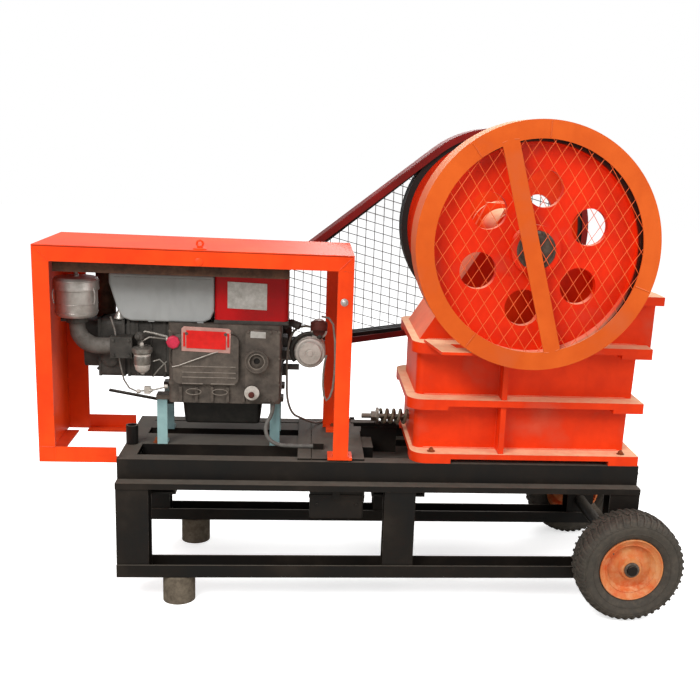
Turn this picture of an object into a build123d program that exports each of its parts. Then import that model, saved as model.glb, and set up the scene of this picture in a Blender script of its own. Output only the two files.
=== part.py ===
from build123d import *
import os
from math import atan2, cos, sin, sqrt

os.makedirs("parts", exist_ok=True)

# Overall reference sizes in millimetres
seat = 0.3                    # bedding gap left between pieces that are bolted together
frame_left = -730.0           # left end of the skid frame
frame_length = 1555.0
frame_half = 230.0            # half width of the skid frame
skid_top = 435.0
skid_height = 60.0
plate = 6.0                   # thickness of the rolled sections

# Running gear
tyre_radius = 165.0
tyre_width = 115.0
axle_inset = 45.0             # from the right end of the frame to the axle
wheel_out = 115.0              # road wheels, from the side of the skid to the middle of the tyre
wheel_y = frame_half + wheel_out
axle_radius = 20.0
run_gap = 0.05                # play between a turning bore and its pin

# Lower frame
rail_width = 80.0
rail_lip = 38.0
stump_height = 84.0
stump_radius = 47.0
stump_x = -555.0
rail_overhang = 40.0          # how far the lower rails stand out from the skid
leg_width = 92.0
mid_leg_x = 94.0

# Crusher
shaft_x = 421.0
shaft_z = 1096.0
shaft_radius = 45.0
wheel_radius = 310.0
wheel_clear = 55.0            # from the side of the skid to the flywheel and the driven pulley
wheel_face = frame_half + wheel_clear   # their inner face from the middle plane
wheel_width = 90.0
hole_pitch = 165.0
hole_radius = 51.0
hole_turn = 83.2
jaw_half = 125.0              # half width of the crushing mouth
cheek = 14.0
side_wall = 28.0
body_left = 123.0
body_right = 821.0
base_flange = 30.0
mid_ledge = 167.0             # heights of the ledges above the lowest one
high_ledge = 335.0
rim_top = 492.0

# Guards
ring_x = shaft_x + 6
ring_z = shaft_z + 8
ring_radius = wheel_radius + 28
ring_opening = wheel_radius - 22
ring_clear = 17.0             # room between the flywheel and the front of its guard
ring_front = wheel_face + wheel_width + ring_clear
ring_depth = 130.0
sheet = 4.0
belt_radius = wheel_radius + 10.0   # guard radius round the driven pulley
belt_clear = 27.5             # room between the driven pulley and the back of its guard
belt_front = wheel_face
belt_back = wheel_face + wheel_width + belt_clear

# Engine and cage
engine_x = -335.0             # starting-handle bore in the middle of the timing cover
engine_z = 757.0
drive_offset_x = 55.0         # crankshaft axis from that bore, towards the cylinder
drive_drop = 25.0
block_length = 329.0
head_length = 251.0
foot_near = -59.0             # lines of the engine feet across the frame
foot_far = 101.0
pulley_small = 75.0
cage_left = -945.0
cage_right = -64.0
cage_depth = 350.0
cage_top_z = 1045.0
cage_angle = 45.0
cage_step = 11.0              # the overhanging cage floor sits this much below the skid top

# Sizes that follow from the ones above
frame_right = frame_left + frame_length
wheel_x = frame_right - axle_inset
drive_x = engine_x - drive_offset_x
drive_z = engine_z - drive_drop
skid_bottom = skid_top - skid_height
rail_outer = frame_half + rail_overhang
rail_mid = rail_outer - rail_width / 2
rail_base = stump_height
rail_roof = skid_bottom - 18
leg_bottom = rail_base + plate + seat
leg_top = skid_bottom - plate - seat
leg_depth = rail_width - 2 * plate - 2 * seat
left_leg_x = frame_left + leg_width / 2
mouth_half = jaw_half + cheek + seat
wall_outer = mouth_half + side_wall
flange_outer = frame_half - 0.7
flange_reach = flange_outer - wall_outer
body_base = skid_top + seat
floor_z = body_base + base_flange
cage_near = -frame_half
cage_far = cage_near + cage_depth
cage_floor = skid_top - cage_step

# Lower rails: two shallow channels lying open side up and two lying open side down
with BuildPart() as trailer_rails:
    with BuildSketch(Plane.YZ.offset(frame_left)):
        for side in (-1, 1):
            with Locations((side * rail_mid, rail_base)):
                Rectangle(rail_width, rail_lip, align=(Align.CENTER, Align.MIN))
            with Locations((side * rail_mid, rail_base + plate)):
                Rectangle(rail_width - 2 * plate, rail_lip, align=(Align.CENTER, Align.MIN), mode=Mode.SUBTRACT)
            with Locations((side * rail_mid, rail_roof)):
                Rectangle(rail_width, skid_bottom - seat - rail_roof, align=(Align.CENTER, Align.MIN))
            with Locations((side * rail_mid, rail_roof - seat)):
                Rectangle(
                    rail_width - 2 * plate,
                    skid_bottom - plate - rail_roof,
                    align=(Align.CENTER, Align.MIN),
                    mode=Mode.SUBTRACT,
                )
    extrude(amount=frame_length)
trailer_rails.part.label = "trailer_rails"
export_step(trailer_rails.part, "parts/trailer_rails.step")

# Six H-section legs stand in the lower channels; the right pair carries the axle
with BuildPart() as trailer_legs:
    leg_spots = [(x, y) for x in (left_leg_x, mid_leg_x, wheel_x) for y in (-rail_mid, rail_mid)]
    with BuildSketch(Plane.XY.offset(leg_bottom)):
        with Locations(*leg_spots):
            Rectangle(leg_width, leg_depth)
        with Locations(*[(x + s * (leg_width / 4 + plate / 4), y) for x, y in leg_spots for s in (-1, 1)]):
            Rectangle(leg_width / 2 - plate / 2, leg_depth - 2 * plate, mode=Mode.SUBTRACT)
    extrude(amount=leg_top - leg_bottom)
    with BuildSketch(Plane.XZ.offset(-rail_outer)):
        with Locations((wheel_x, tyre_radius)):
            Circle(axle_radius + seat)
    extrude(amount=2 * rail_outer, mode=Mode.SUBTRACT)
trailer_legs.part.label = "trailer_legs"
export_step(trailer_legs.part, "parts/trailer_legs.step")

# Flat box beams tie the near legs to the far legs
beam_reach = rail_mid - leg_depth / 2 - seat
beam_height = 40.0
beam_spots = ((left_leg_x + 35, leg_width + 70), (mid_leg_x, leg_width + 70), (wheel_x + 4, leg_width - 8))
with BuildPart() as cross_beams:
    with BuildSketch(Plane.XZ.offset(-beam_reach)):
        for x, width in beam_spots:
            with Locations((x, rail_roof - seat - beam_height / 2)):
                Rectangle(width, beam_height)
                Rectangle(width - 2 * plate, beam_height - 2 * plate, mode=Mode.SUBTRACT)
    extrude(amount=2 * beam_reach)
cross_beams.part.label = "cross_beams"
export_step(cross_beams.part, "parts/cross_beams.step")

# Skid frame of four channels, webs outward, with a round drawbar socket at the left end
skid_flange = 46.0
end_reach = frame_half - skid_flange - seat
with BuildPart() as skid_frame:
    with BuildSketch(Plane.YZ.offset(frame_left)):
        for side in (-1, 1):
            with Locations((side * (frame_half - skid_flange / 2), skid_bottom)):
                Rectangle(skid_flange, skid_height, align=(Align.CENTER, Align.MIN))
            with Locations((side * (frame_half - skid_flange / 2 - plate), skid_bottom + plate)):
                Rectangle(skid_flange, skid_height - 2 * plate, align=(Align.CENTER, Align.MIN), mode=Mode.SUBTRACT)
    extrude(amount=frame_length)
    with BuildSketch(Plane.XZ.offset(-end_reach)):
        for x, side in ((frame_left, 1), (frame_right, -1)):
            with Locations((x + side * 25, skid_bottom)):
                Rectangle(50, skid_height, align=(Align.CENTER, Align.MIN))
            with Locations((x + side * (25 + plate), skid_bottom + plate)):
                Rectangle(50, skid_height - 2 * plate, align=(Align.CENTER, Align.MIN), mode=Mode.SUBTRACT)
    extrude(amount=2 * end_reach)
    with BuildSketch(Plane.XY.offset(skid_top + seat)):
        with Locations((frame_left + 19, -75)):
            Circle(18)
            Circle(13, mode=Mode.SUBTRACT)
    extrude(amount=58)
skid_frame.part.label = "skid_frame"
export_step(skid_frame.part, "parts/skid_frame.step")

# Two channels run lengthwise under the engine, level with the skid top
rail_near = 112.0             # width of the near channel
rail_far = frame_half - skid_flange - 9 - (foot_far - 6)
rail_y1 = foot_near - 20 + rail_near / 2
rail_y2 = foot_far - 6 + rail_far / 2
rail_from = frame_left + 50 + seat
rail_to = 20.0
with BuildPart() as engine_rails:
    with BuildSketch(Plane.YZ.offset(rail_from)):
        for y, width in ((rail_y1, rail_near), (rail_y2, rail_far)):
            with Locations((y, skid_bottom)):
                Rectangle(width, skid_height, align=(Align.CENTER, Align.MIN))
            with Locations((y, skid_bottom - plate)):
                Rectangle(width - 2 * plate, skid_height, align=(Align.CENTER, Align.MIN), mode=Mode.SUBTRACT)
    extrude(amount=rail_to - rail_from)
engine_rails.part.label = "engine_rails"
export_step(engine_rails.part, "parts/engine_rails.step")

# Two floor plates between the engine and the crusher lie on the skid top
deck_thick = 5.0
terminal_x = -166.0            # left face of the terminal block that stands on the deck
terminal_y = -114.0
clip_x = -42.0                # cable clip near the far edge of the deck
clip_y = 204.0
deck_joint = -172.0            # joint between the narrow floor plate and the wide one
narrow_plate = 40.0
wide_plate = 156.0
deck_inset = 15.0
with BuildPart() as deck_plates:
    with BuildSketch(Plane.XY.offset(skid_top + seat)):
        with Locations((deck_joint - narrow_plate / 2, 0)):
            Rectangle(narrow_plate, 2 * (frame_half - deck_inset))
        with Locations((deck_joint + 2 + wide_plate / 2, 0)):
            Rectangle(wide_plate, 2 * (frame_half - deck_inset))
    extrude(amount=deck_thick)
    with BuildSketch(Plane.XY.offset(skid_top + seat)):
        with Locations((terminal_x + 16, terminal_y)):
            Rectangle(32, 26)
    extrude(amount=24)
    with BuildSketch(Plane.XY.offset(skid_top + seat)):
        with Locations((clip_x + 8, clip_y)):
            Rectangle(16, 14)
    extrude(amount=deck_thick + 10)
deck_plates.part.label = "deck_plates"
export_step(deck_plates.part, "parts/deck_plates.step")

# Round support stumps under the left end
with BuildPart() as support_stumps:
    with BuildSketch():
        with Locations((stump_x, -rail_mid), (stump_x, rail_mid)):
            Circle(stump_radius)
    extrude(amount=stump_height - seat)
    chamfer(support_stumps.faces().group_by(Axis.Z)[-1].edges(), 3)
support_stumps.part.label = "support_stumps"
export_step(support_stumps.part, "parts/support_stumps.step")

# Fixed axle through the right legs, with a shoulder inside each wheel and a washer and nut outside
hub_half = 42.0
axle_pin = 15.0
axle_end = wheel_y + hub_half + 12
with BuildPart() as wheel_axle:
    with BuildSketch(Plane.XZ.offset(-(wheel_y - hub_half - 1))):
        with Locations((wheel_x, tyre_radius)):
            Circle(axle_radius)
    extrude(amount=2 * (wheel_y - hub_half - 1))
    with BuildSketch(Plane.XZ.offset(-axle_end)):
        with Locations((wheel_x, tyre_radius)):
            Circle(axle_pin)
    extrude(amount=2 * axle_end)
    for side in (-1, 1):
        with BuildSketch(Plane.XZ.offset(side * (wheel_y + hub_half + 4))):
            with Locations((wheel_x, tyre_radius)):
                RegularPolygon(17, 6)
        extrude(amount=3, both=True)
wheel_axle.part.label = "wheel_axle"
export_step(wheel_axle.part, "parts/wheel_axle.step")

# Tool and battery box hung under the near side of the skid
with BuildPart() as battery_box:
    with BuildSketch(Plane.XZ.offset(frame_half - 5)):
        with Locations((-93, 258)):
            Rectangle(160, rail_roof - seat - 258, align=(Align.CENTER, Align.MIN))
    extrude(amount=-110)
    fillet(battery_box.edges().filter_by(Axis.Z), 6)
    with BuildSketch(Plane.XZ.offset(frame_half - 5)):
        with Locations((-93, rail_roof - 30)):
            Rectangle(166, 8)
    extrude(amount=4, both=True)
battery_box.part.label = "battery_box"
export_step(battery_box.part, "parts/battery_box.step")

# Ribbed side plates of the crusher: upright walls with a rounded back corner, ringed by ledges
top_z = floor_z + rim_top - 1
back_x = body_left + 12
front_line = [
    (body_right - 34, body_base),
    (body_right - 30, floor_z + mid_ledge - 17),
    (body_right - 22, floor_z + mid_ledge - 7),
    (body_right - 18, floor_z + high_ledge - 13),
    (body_right + 24, floor_z + high_ledge - 7),
    (body_right + 26, top_z),
]
back_top = floor_z + high_ledge - 5
side_outline = [
    (back_x, body_base),
    *front_line,
    (shaft_x + 130, top_z),
    (shaft_x + 84, shaft_z + 20),
    (shaft_x + 50, shaft_z + 92),
    (shaft_x - 50, shaft_z + 92),
    (shaft_x - 84, shaft_z + 20),
    (back_x, back_top),
]
# Each ledge: left end, right end, top, thickness, and how far its thicker end pads hang below it
ledges = (
    (body_left, body_right, floor_z, 16.0, base_flange - 16),
    (body_left - 16, body_right, floor_z + mid_ledge, 20.0, 12.0),
    (body_left - 8, body_right + 10, floor_z + high_ledge, 20.0, 12.0),
)
rim_back = 300.0
rim_front = 30.0
rim_ledge = (body_right - rim_back, body_right + rim_front, floor_z + rim_top, 26.0)
pad_left = 120.0
pad_right = 92.0
ledge_corner = 50.0
wall_corner = 24.0
housing_bore = 70.0
housing_rim = 18.0
housing_end = flange_outer + 2.3   # outer face of the bearing housings
rib_width = 16.0
with BuildPart() as side_plates:
    for side in (-1, 1):
        with BuildSketch(Plane.XZ.offset(-side * mouth_half)):
            with BuildLine():
                Polyline(*side_outline, close=True)
            make_face()
            with Locations((shaft_x, shaft_z)):
                Circle(housing_bore + seat, mode=Mode.SUBTRACT)
        extrude(amount=-side * side_wall)
    with BuildSketch(Plane.XY.offset(body_base)):
        for side in (-1, 1):
            with Locations((back_x + wall_corner / 2, side * (wall_outer - wall_corner / 2))):
                Rectangle(wall_corner, wall_corner)
            with Locations((back_x + wall_corner, side * (wall_outer - wall_corner))):
                Circle(wall_corner, mode=Mode.SUBTRACT)
    extrude(amount=back_top - body_base, mode=Mode.SUBTRACT)
    flange_mid = (mouth_half + flange_outer) / 2
    flange_span = flange_outer - mouth_half
    for left, right, top, thick, hang in ledges:
        with BuildSketch(Plane.XY.offset(top - thick)) as ledge_plan:
            with Locations(((left + right) / 2, -flange_mid), ((left + right) / 2, flange_mid)):
                Rectangle(right - left, flange_span)
            back_corners = ledge_plan.vertices().group_by(Axis.X)[0].sort_by(Axis.Y)
            fillet([back_corners[0], back_corners[-1]], ledge_corner)
        extrude(amount=thick)
        with BuildSketch(Plane.XY.offset(top - thick)) as pad_plan:
            with Locations((left + pad_left / 2, -flange_mid), (left + pad_left / 2, flange_mid)):
                Rectangle(pad_left, flange_span)
            with Locations((right - pad_right / 2, -flange_mid), (right - pad_right / 2, flange_mid)):
                Rectangle(pad_right, flange_span)
            back_corners = pad_plan.vertices().group_by(Axis.X)[0].sort_by(Axis.Y)
            fillet([back_corners[0], back_corners[-1]], ledge_corner)
        extrude(amount=-hang)
    with BuildSketch(Plane.XY.offset(rim_ledge[2] - rim_ledge[3])):
        with Locations(((rim_ledge[0] + rim_ledge[1]) / 2, -flange_mid), ((rim_ledge[0] + rim_ledge[1]) / 2, flange_mid)):
            Rectangle(rim_ledge[1] - rim_ledge[0], flange_span)
    extrude(amount=rim_ledge[3])
    rib_reach = flange_reach - 8
    rib_y = wall_outer + rib_reach / 2
    with BuildSketch(Plane.XY.offset(floor_z)):
        with Locations((shaft_x - 26, -rib_y), (shaft_x - 26, rib_y)):
            Rectangle(rib_width, rib_reach)
    extrude(amount=high_ledge - 20)
    with BuildSketch(Plane.XY.offset(floor_z + high_ledge)):
        with Locations((shaft_x + 125, -rib_y), (shaft_x + 125, rib_y)):
            Rectangle(rib_width, rib_reach)
    extrude(amount=rim_top - high_ledge - 22)
side_plates.part.label = "side_plates"
export_step(side_plates.part, "parts/side_plates.step")

# End walls with the same ledges: the leaning front wall takes the fixed jaw, the back wall takes
# the toggle, and a sloping cover runs up from the back wall towards the shaft
lean_low = body_right - 86
lean_high = body_right - 26
toggle_z = floor_z + 88
rod_z = floor_z + 50
rod_radius = 8.0
cover = 8.0
cover_lean = atan2(shaft_x - 84 - back_x, shaft_z + 20 - back_top)
cover_x = shaft_x - 84 - 14 * sin(cover_lean)
cover_z = shaft_z + 20 - 14 * cos(cover_lean)
cover_in = (cover * cos(cover_lean), cover * sin(cover_lean))
with BuildPart() as end_walls:
    with BuildSketch(Plane.XZ.offset(-(mouth_half - seat))):
        with BuildLine():
            Polyline((lean_low, body_base), *front_line, (lean_high, top_z), close=True)
        make_face()
        with Locations((back_x, body_base)):
            Rectangle(28, back_top - body_base, align=(Align.MIN, Align.MIN))
        with BuildLine():
            Polyline(
                (back_x, back_top),
                (cover_x, cover_z),
                (cover_x + cover_in[0], cover_z - cover_in[1]),
                (back_x + cover_in[0], back_top - cover_in[1]),
                close=True,
            )
        make_face()
        with Locations((back_x + 28, toggle_z)):
            Rectangle(36, 70, align=(Align.MIN, Align.CENTER))
        for left, right, top, thick, hang in ledges:
            with Locations((left, top - thick)):
                Rectangle(back_x + 10 - left, thick, align=(Align.MIN, Align.MIN))
            with Locations((right, top - thick)):
                Rectangle(right - lean_high + 10, thick, align=(Align.MAX, Align.MIN))
        with Locations((rim_ledge[1], rim_ledge[2] - rim_ledge[3])):
            Rectangle(rim_ledge[1] - lean_high - 20, rim_ledge[3] - 1, align=(Align.MAX, Align.MIN))
    extrude(amount=2 * (mouth_half - seat))
    with BuildSketch(Plane.YZ.offset(body_left - 30)):
        with Locations((0, rod_z)):
            Circle(rod_radius + 5)
    extrude(amount=140, mode=Mode.SUBTRACT)
end_walls.part.label = "end_walls"
export_step(end_walls.part, "parts/end_walls.step")

# Toothed crushing plates on both jaws, profiles drawn along each leaning face, and smooth cheeks beside them
slab = 34.0
tooth = 12.0
teeth = 9
lean = atan2(lean_high - lean_low, top_z - body_base)
mouth_low = 30.0
mouth_high = 150.0
jaw_from = floor_z + 24
jaw_to = top_z - 12
fixed_base = lean_low + (jaw_from - body_base) * (lean_high - lean_low) / (top_z - body_base)
fixed_head = fixed_base + (jaw_to - jaw_from) * (lean_high - lean_low) / (top_z - body_base)
swing_base = fixed_base - 2 * (slab + tooth) - mouth_low
swing_head = fixed_head - 2 * (slab + tooth) - mouth_high
swing_lean = atan2(swing_base - swing_head, jaw_to - jaw_from)
plate_half = jaw_half - 2
step = 2 * plate_half / teeth
with BuildPart() as jaw_plates:
    for x, tilt, face in ((fixed_base - seat, lean, -1), (swing_base + seat, -swing_lean, 1)):
        along = Vector(sin(tilt), 0, cos(tilt))
        length = (jaw_to - jaw_from) / cos(tilt)
        with BuildSketch(Plane(origin=(x, 0, jaw_from), x_dir=(0, 1, 0), z_dir=along)):
            with BuildLine():
                outline = [(-plate_half, 0), (-plate_half, face * slab)]
                for i in range(teeth):
                    outline.append((-plate_half + (i + 0.5) * step, face * (slab + tooth)))
                    outline.append((-plate_half + (i + 1) * step, face * slab))
                outline.append((plate_half, 0))
                Polyline(*[(y, -x_out) for y, x_out in outline], close=True)
            make_face()
        extrude(amount=length)
    for side in (-1, 1):
        with BuildSketch(Plane.XZ.offset(-side * (mouth_half - seat))):
            with BuildLine():
                Polyline(
                    (swing_base - 20, jaw_from),
                    (fixed_base - 8, jaw_from),
                    (fixed_head - 8, jaw_to),
                    (swing_head - 20, jaw_to),
                    close=True,
                )
            make_face()
        extrude(amount=side * (cheek - 2))
jaw_plates.part.label = "jaw_plates"
export_step(jaw_plates.part, "parts/jaw_plates.step")

# Swing jaw hung on the shaft, webbed behind its face
hub_radius = 78.0
with BuildPart() as swing_jaw:
    with BuildSketch(Plane.XZ.offset(-plate_half)):
        with BuildLine():
            Polyline(
                (swing_base, jaw_from),
                (swing_head, jaw_to),
                (swing_head - 30, jaw_to + 70),
                (shaft_x + 50, shaft_z + 30),
                (shaft_x - 60, shaft_z - 30),
                (swing_base - 178, floor_z + 200),
                (swing_base - 62, floor_z + 130),
                (swing_base - 62, floor_z + 20),
                (swing_base - 20, jaw_from - 10),
                close=True,
            )
        make_face()
        with Locations((shaft_x, shaft_z)):
            Circle(hub_radius)
            Circle(shaft_radius + run_gap, mode=Mode.SUBTRACT)
    extrude(amount=2 * plate_half)
swing_jaw.part.label = "swing_jaw"
export_step(swing_jaw.part, "parts/swing_jaw.step")

# Toggle plate between the back wall and the swing jaw
toggle_left = back_x + 64 + seat
toggle_right = swing_base - 62 - seat
with BuildPart() as toggle_plate:
    with BuildSketch(Plane.XZ.offset(-100)):
        with Locations(((toggle_left + toggle_right) / 2, toggle_z)):
            Rectangle(toggle_right - toggle_left, 26)
    extrude(amount=200)
    chamfer(toggle_plate.edges().filter_by(Axis.Y), 5)
toggle_plate.part.label = "toggle_plate"
export_step(toggle_plate.part, "parts/toggle_plate.step")

# Tension rod with its nut and washers, and the spring it draws against the back wall
spring_from = body_left - 84
spring_radius = 21.5
spring_wire = 4.5
rod_from = spring_from - 54
with BuildPart() as tension_rod:
    with BuildSketch(Plane.YZ.offset(rod_from)):
        with Locations((0, rod_z)):
            Circle(rod_radius)
    extrude(amount=toggle_right - rod_from)
    with BuildSketch(Plane.YZ.offset(spring_from - 24)):
        with Locations((0, rod_z)):
            RegularPolygon(17, 6)
    extrude(amount=16)
    with BuildSketch(Plane.YZ.offset(spring_from - 8)):
        with Locations((0, rod_z)):
            Circle(27)
    extrude(amount=8 - seat)
tension_rod.part.label = "tension_rod"
export_step(tension_rod.part, "parts/tension_rod.step")

coil_height = back_x - seat - spring_from - 2 * spring_wire
with BuildPart() as tension_spring:
    with BuildLine() as coil:
        Helix(
            pitch=coil_height / 4.5,
            height=coil_height,
            radius=spring_radius,
            center=(spring_from + spring_wire, 0, rod_z),
            direction=(1, 0, 0),
        )
    with BuildSketch(Plane(origin=coil.line @ 0, z_dir=coil.line % 0)):
        RegularPolygon(spring_wire, 6)
    sweep(is_frenet=True)
tension_spring.part.label = "tension_spring"
export_step(tension_spring.part, "parts/tension_spring.step")

# Bearing housings bolted into the side plates
with BuildPart() as bearing_housings:
    for side in (-1, 1):
        for start, radius, depth in (
            (mouth_half + 1, housing_bore, side_wall - 1),
            (wall_outer + seat, 96.0, housing_rim),
            (wall_outer + seat + housing_rim, 82.0, housing_end - wall_outer - seat - housing_rim),
        ):
            with BuildSketch(Plane.XZ.offset(-side * start)):
                with Locations((shaft_x, shaft_z)):
                    Circle(radius)
            extrude(amount=-side * depth if radius != housing_bore else -side * (depth + seat))
        with BuildSketch(Plane.XZ.offset(-side * mouth_half)):
            with Locations((shaft_x, shaft_z)):
                Circle(shaft_radius + run_gap)
        extrude(amount=-side * (housing_end - mouth_half + 1), mode=Mode.SUBTRACT)
bearing_housings.part.label = "bearing_housings"
export_step(bearing_housings.part, "parts/bearing_housings.step")

# Rotating group: shaft, flywheel on the near end and grooved pulley on the far end
shaft_end = wheel_face + wheel_width + 6
with BuildPart() as eccentric_shaft:
    with BuildSketch(Plane.XZ.offset(-shaft_end)):
        with Locations((shaft_x, shaft_z)):
            Circle(shaft_radius)
    extrude(amount=2 * shaft_end)
    chamfer(eccentric_shaft.edges().filter_by(GeomType.CIRCLE), 3)
eccentric_shaft.part.label = "eccentric_shaft"
export_step(eccentric_shaft.part, "parts/eccentric_shaft.step")

hub_outer = 68.0
rim = 26.0
web_recess = 32.0
groove_pitch = 25.0
groove_width = 15.0
groove_depth = 12.0
grooves = (-groove_pitch, 0.0, groove_pitch)
pulley_mid = wheel_face + wheel_width / 2
with BuildPart() as flywheel:
    with BuildSketch(Plane((shaft_x, 0, shaft_z))):
        with BuildLine():
            Polyline(
                (shaft_radius + run_gap, -wheel_face),
                (hub_outer, -wheel_face),
                (hub_outer, -wheel_face - web_recess),
                (wheel_radius - rim, -wheel_face - web_recess),
                (wheel_radius - rim + 6, -wheel_face),
                (wheel_radius, -wheel_face),
                (wheel_radius, -wheel_face - wheel_width),
                (wheel_radius - rim + 6, -wheel_face - wheel_width),
                (wheel_radius - rim, -wheel_face - wheel_width + web_recess),
                (hub_outer, -wheel_face - wheel_width + web_recess),
                (hub_outer, -wheel_face - wheel_width),
                (shaft_radius + run_gap, -wheel_face - wheel_width),
                close=True,
            )
        make_face()
    revolve(axis=Axis((shaft_x, 0, shaft_z), (0, 1, 0)))
    with BuildSketch(Plane.XZ.offset(wheel_face - 5)):
        with Locations((shaft_x, shaft_z)):
            with PolarLocations(hole_pitch, 6, start_angle=hole_turn):
                Circle(hole_radius)
    extrude(amount=wheel_width + 10, mode=Mode.SUBTRACT)
flywheel.part.label = "flywheel"
export_step(flywheel.part, "parts/flywheel.step")

with BuildPart() as drive_pulley:
    with BuildSketch(Plane((shaft_x, 0, shaft_z))):
        with BuildLine():
            rim_line = [(wheel_radius, wheel_face)]
            for offset in grooves:
                y = pulley_mid + offset
                rim_line.append((wheel_radius, y - groove_width / 2))
                rim_line.append((wheel_radius - groove_depth, y - groove_width / 2))
                rim_line.append((wheel_radius - groove_depth, y + groove_width / 2))
                rim_line.append((wheel_radius, y + groove_width / 2))
            rim_line.append((wheel_radius, wheel_face + wheel_width))
            Polyline(
                (shaft_radius + run_gap, wheel_face + wheel_width),
                (shaft_radius + run_gap, wheel_face),
                (hub_outer, wheel_face),
                (hub_outer, wheel_face + web_recess),
                (wheel_radius - rim, wheel_face + web_recess),
                (wheel_radius - rim + 6, wheel_face),
                *rim_line,
                (wheel_radius - rim + 6, wheel_face + wheel_width),
                (wheel_radius - rim, wheel_face + wheel_width - web_recess),
                (hub_outer, wheel_face + wheel_width - web_recess),
                (hub_outer, wheel_face + wheel_width),
                close=True,
            )
        make_face()
    revolve(axis=Axis((shaft_x, 0, shaft_z), (0, 1, 0)))
    with BuildSketch(Plane.XZ.offset(-wheel_face + 5)):
        with Locations((shaft_x, shaft_z)):
            with PolarLocations(hole_pitch, 6, start_angle=hole_turn):
                Circle(hole_radius)
    extrude(amount=-wheel_width - 10, mode=Mode.SUBTRACT)
drive_pulley.part.label = "drive_pulley"
export_step(drive_pulley.part, "parts/drive_pulley.step")

# Three endless belts run from the small engine pulley round the driven pulley
belt_width = groove_width - 1.0
belt_floor = groove_depth - 0.5
with BuildPart() as drive_belts:
    for offset in grooves:
        for grow, mode in ((1.5, Mode.ADD), (-belt_floor, Mode.SUBTRACT)):
            with BuildSketch(Plane.XZ.offset(-(pulley_mid + offset - belt_width / 2))):
                with BuildLine():
                    CenterArc((shaft_x, shaft_z), wheel_radius + grow, 0, 360)
                    CenterArc((drive_x, drive_z), pulley_small + grow, 0, 360)
                make_hull()
            extrude(amount=-belt_width, mode=mode)
drive_belts.part.label = "drive_belts"
export_step(drive_belts.part, "parts/drive_belts.step")

# Flywheel guard: a round collar with a front ring and one flat bar across the opening
with BuildPart() as guard_ring:
    with BuildSketch(Plane.XZ.offset(ring_front - ring_depth)):
        with Locations((ring_x, ring_z)):
            Circle(ring_radius)
            Circle(ring_radius - sheet, mode=Mode.SUBTRACT)
    extrude(amount=ring_depth)
    with BuildSketch(Plane.XZ.offset(ring_front - sheet)):
        with Locations((ring_x, ring_z)):
            Circle(ring_radius)
            Circle(ring_opening, mode=Mode.SUBTRACT)
        with Locations(Location((ring_x - 22, ring_z - 3), 15.6)):
            Rectangle(47, 2 * ring_opening + 8)
    extrude(amount=sheet)
guard_ring.part.label = "guard_ring"
export_step(guard_ring.part, "parts/guard_ring.step")

# Crossed wires fill the opening of the flywheel guard
wire = 3.0
mesh_radius = ring_opening + 14
near_pitch = 76.0
with BuildPart() as guard_mesh:
    with BuildSketch(Plane.XZ.offset(ring_front - sheet - seat - wire)):
        for turn in (-33, 33):
            with Locations(Location((ring_x, ring_z), turn)):
                with GridLocations(near_pitch, 1, 7, 1):
                    Rectangle(wire, 2 * mesh_radius)
        with Locations((ring_x, ring_z)):
            Circle(mesh_radius, mode=Mode.INTERSECT)
    extrude(amount=wire)
guard_mesh.part.label = "guard_mesh"
export_step(guard_mesh.part, "parts/guard_mesh.step")

# Belt guard: a sheet band round both pulleys with a wire panel on its far face
engine_guard = pulley_small + 20.0
with BuildPart() as belt_guard_band:
    for grow, mode in ((sheet, Mode.ADD), (0.0, Mode.SUBTRACT)):
        with BuildSketch(Plane.XZ.offset(-belt_front)):
            with BuildLine():
                CenterArc((shaft_x, shaft_z), belt_radius + grow, 0, 360)
                CenterArc((drive_x, drive_z), engine_guard + grow, 0, 360)
            make_hull()
        extrude(amount=-(belt_back - belt_front), mode=mode)
belt_guard_band.part.label = "belt_guard_band"
export_step(belt_guard_band.part, "parts/belt_guard_band.step")

far_pitch = 90.0
panel_left = drive_x - engine_guard
panel_right = shaft_x + belt_radius
panel_low = drive_z - engine_guard
panel_high = shaft_z + belt_radius
upright_wires = int((panel_right - panel_left) / far_pitch)
level_wires = int((panel_high - panel_low) / far_pitch)
with BuildPart() as belt_guard_mesh:
    with BuildSketch(Plane.XZ.offset(-(belt_back - wire))):
        with Locations(((panel_left + panel_right) / 2, (panel_low + panel_high) / 2)):
            with GridLocations(far_pitch, 1, upright_wires, 1):
                Rectangle(wire, panel_high - panel_low)
            with GridLocations(1, far_pitch, 1, level_wires):
                Rectangle(panel_right - panel_left, wire)
    extrude(amount=-wire)
    with BuildSketch(Plane.XZ.offset(-(belt_back - wire))):
        with BuildLine():
            CenterArc((shaft_x, shaft_z), belt_radius - seat, 0, 360)
            CenterArc((drive_x, drive_z), engine_guard - seat, 0, 360)
        make_hull()
    extrude(amount=-wire, mode=Mode.INTERSECT)
belt_guard_mesh.part.label = "belt_guard_mesh"
export_step(belt_guard_mesh.part, "parts/belt_guard_mesh.step")

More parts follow.
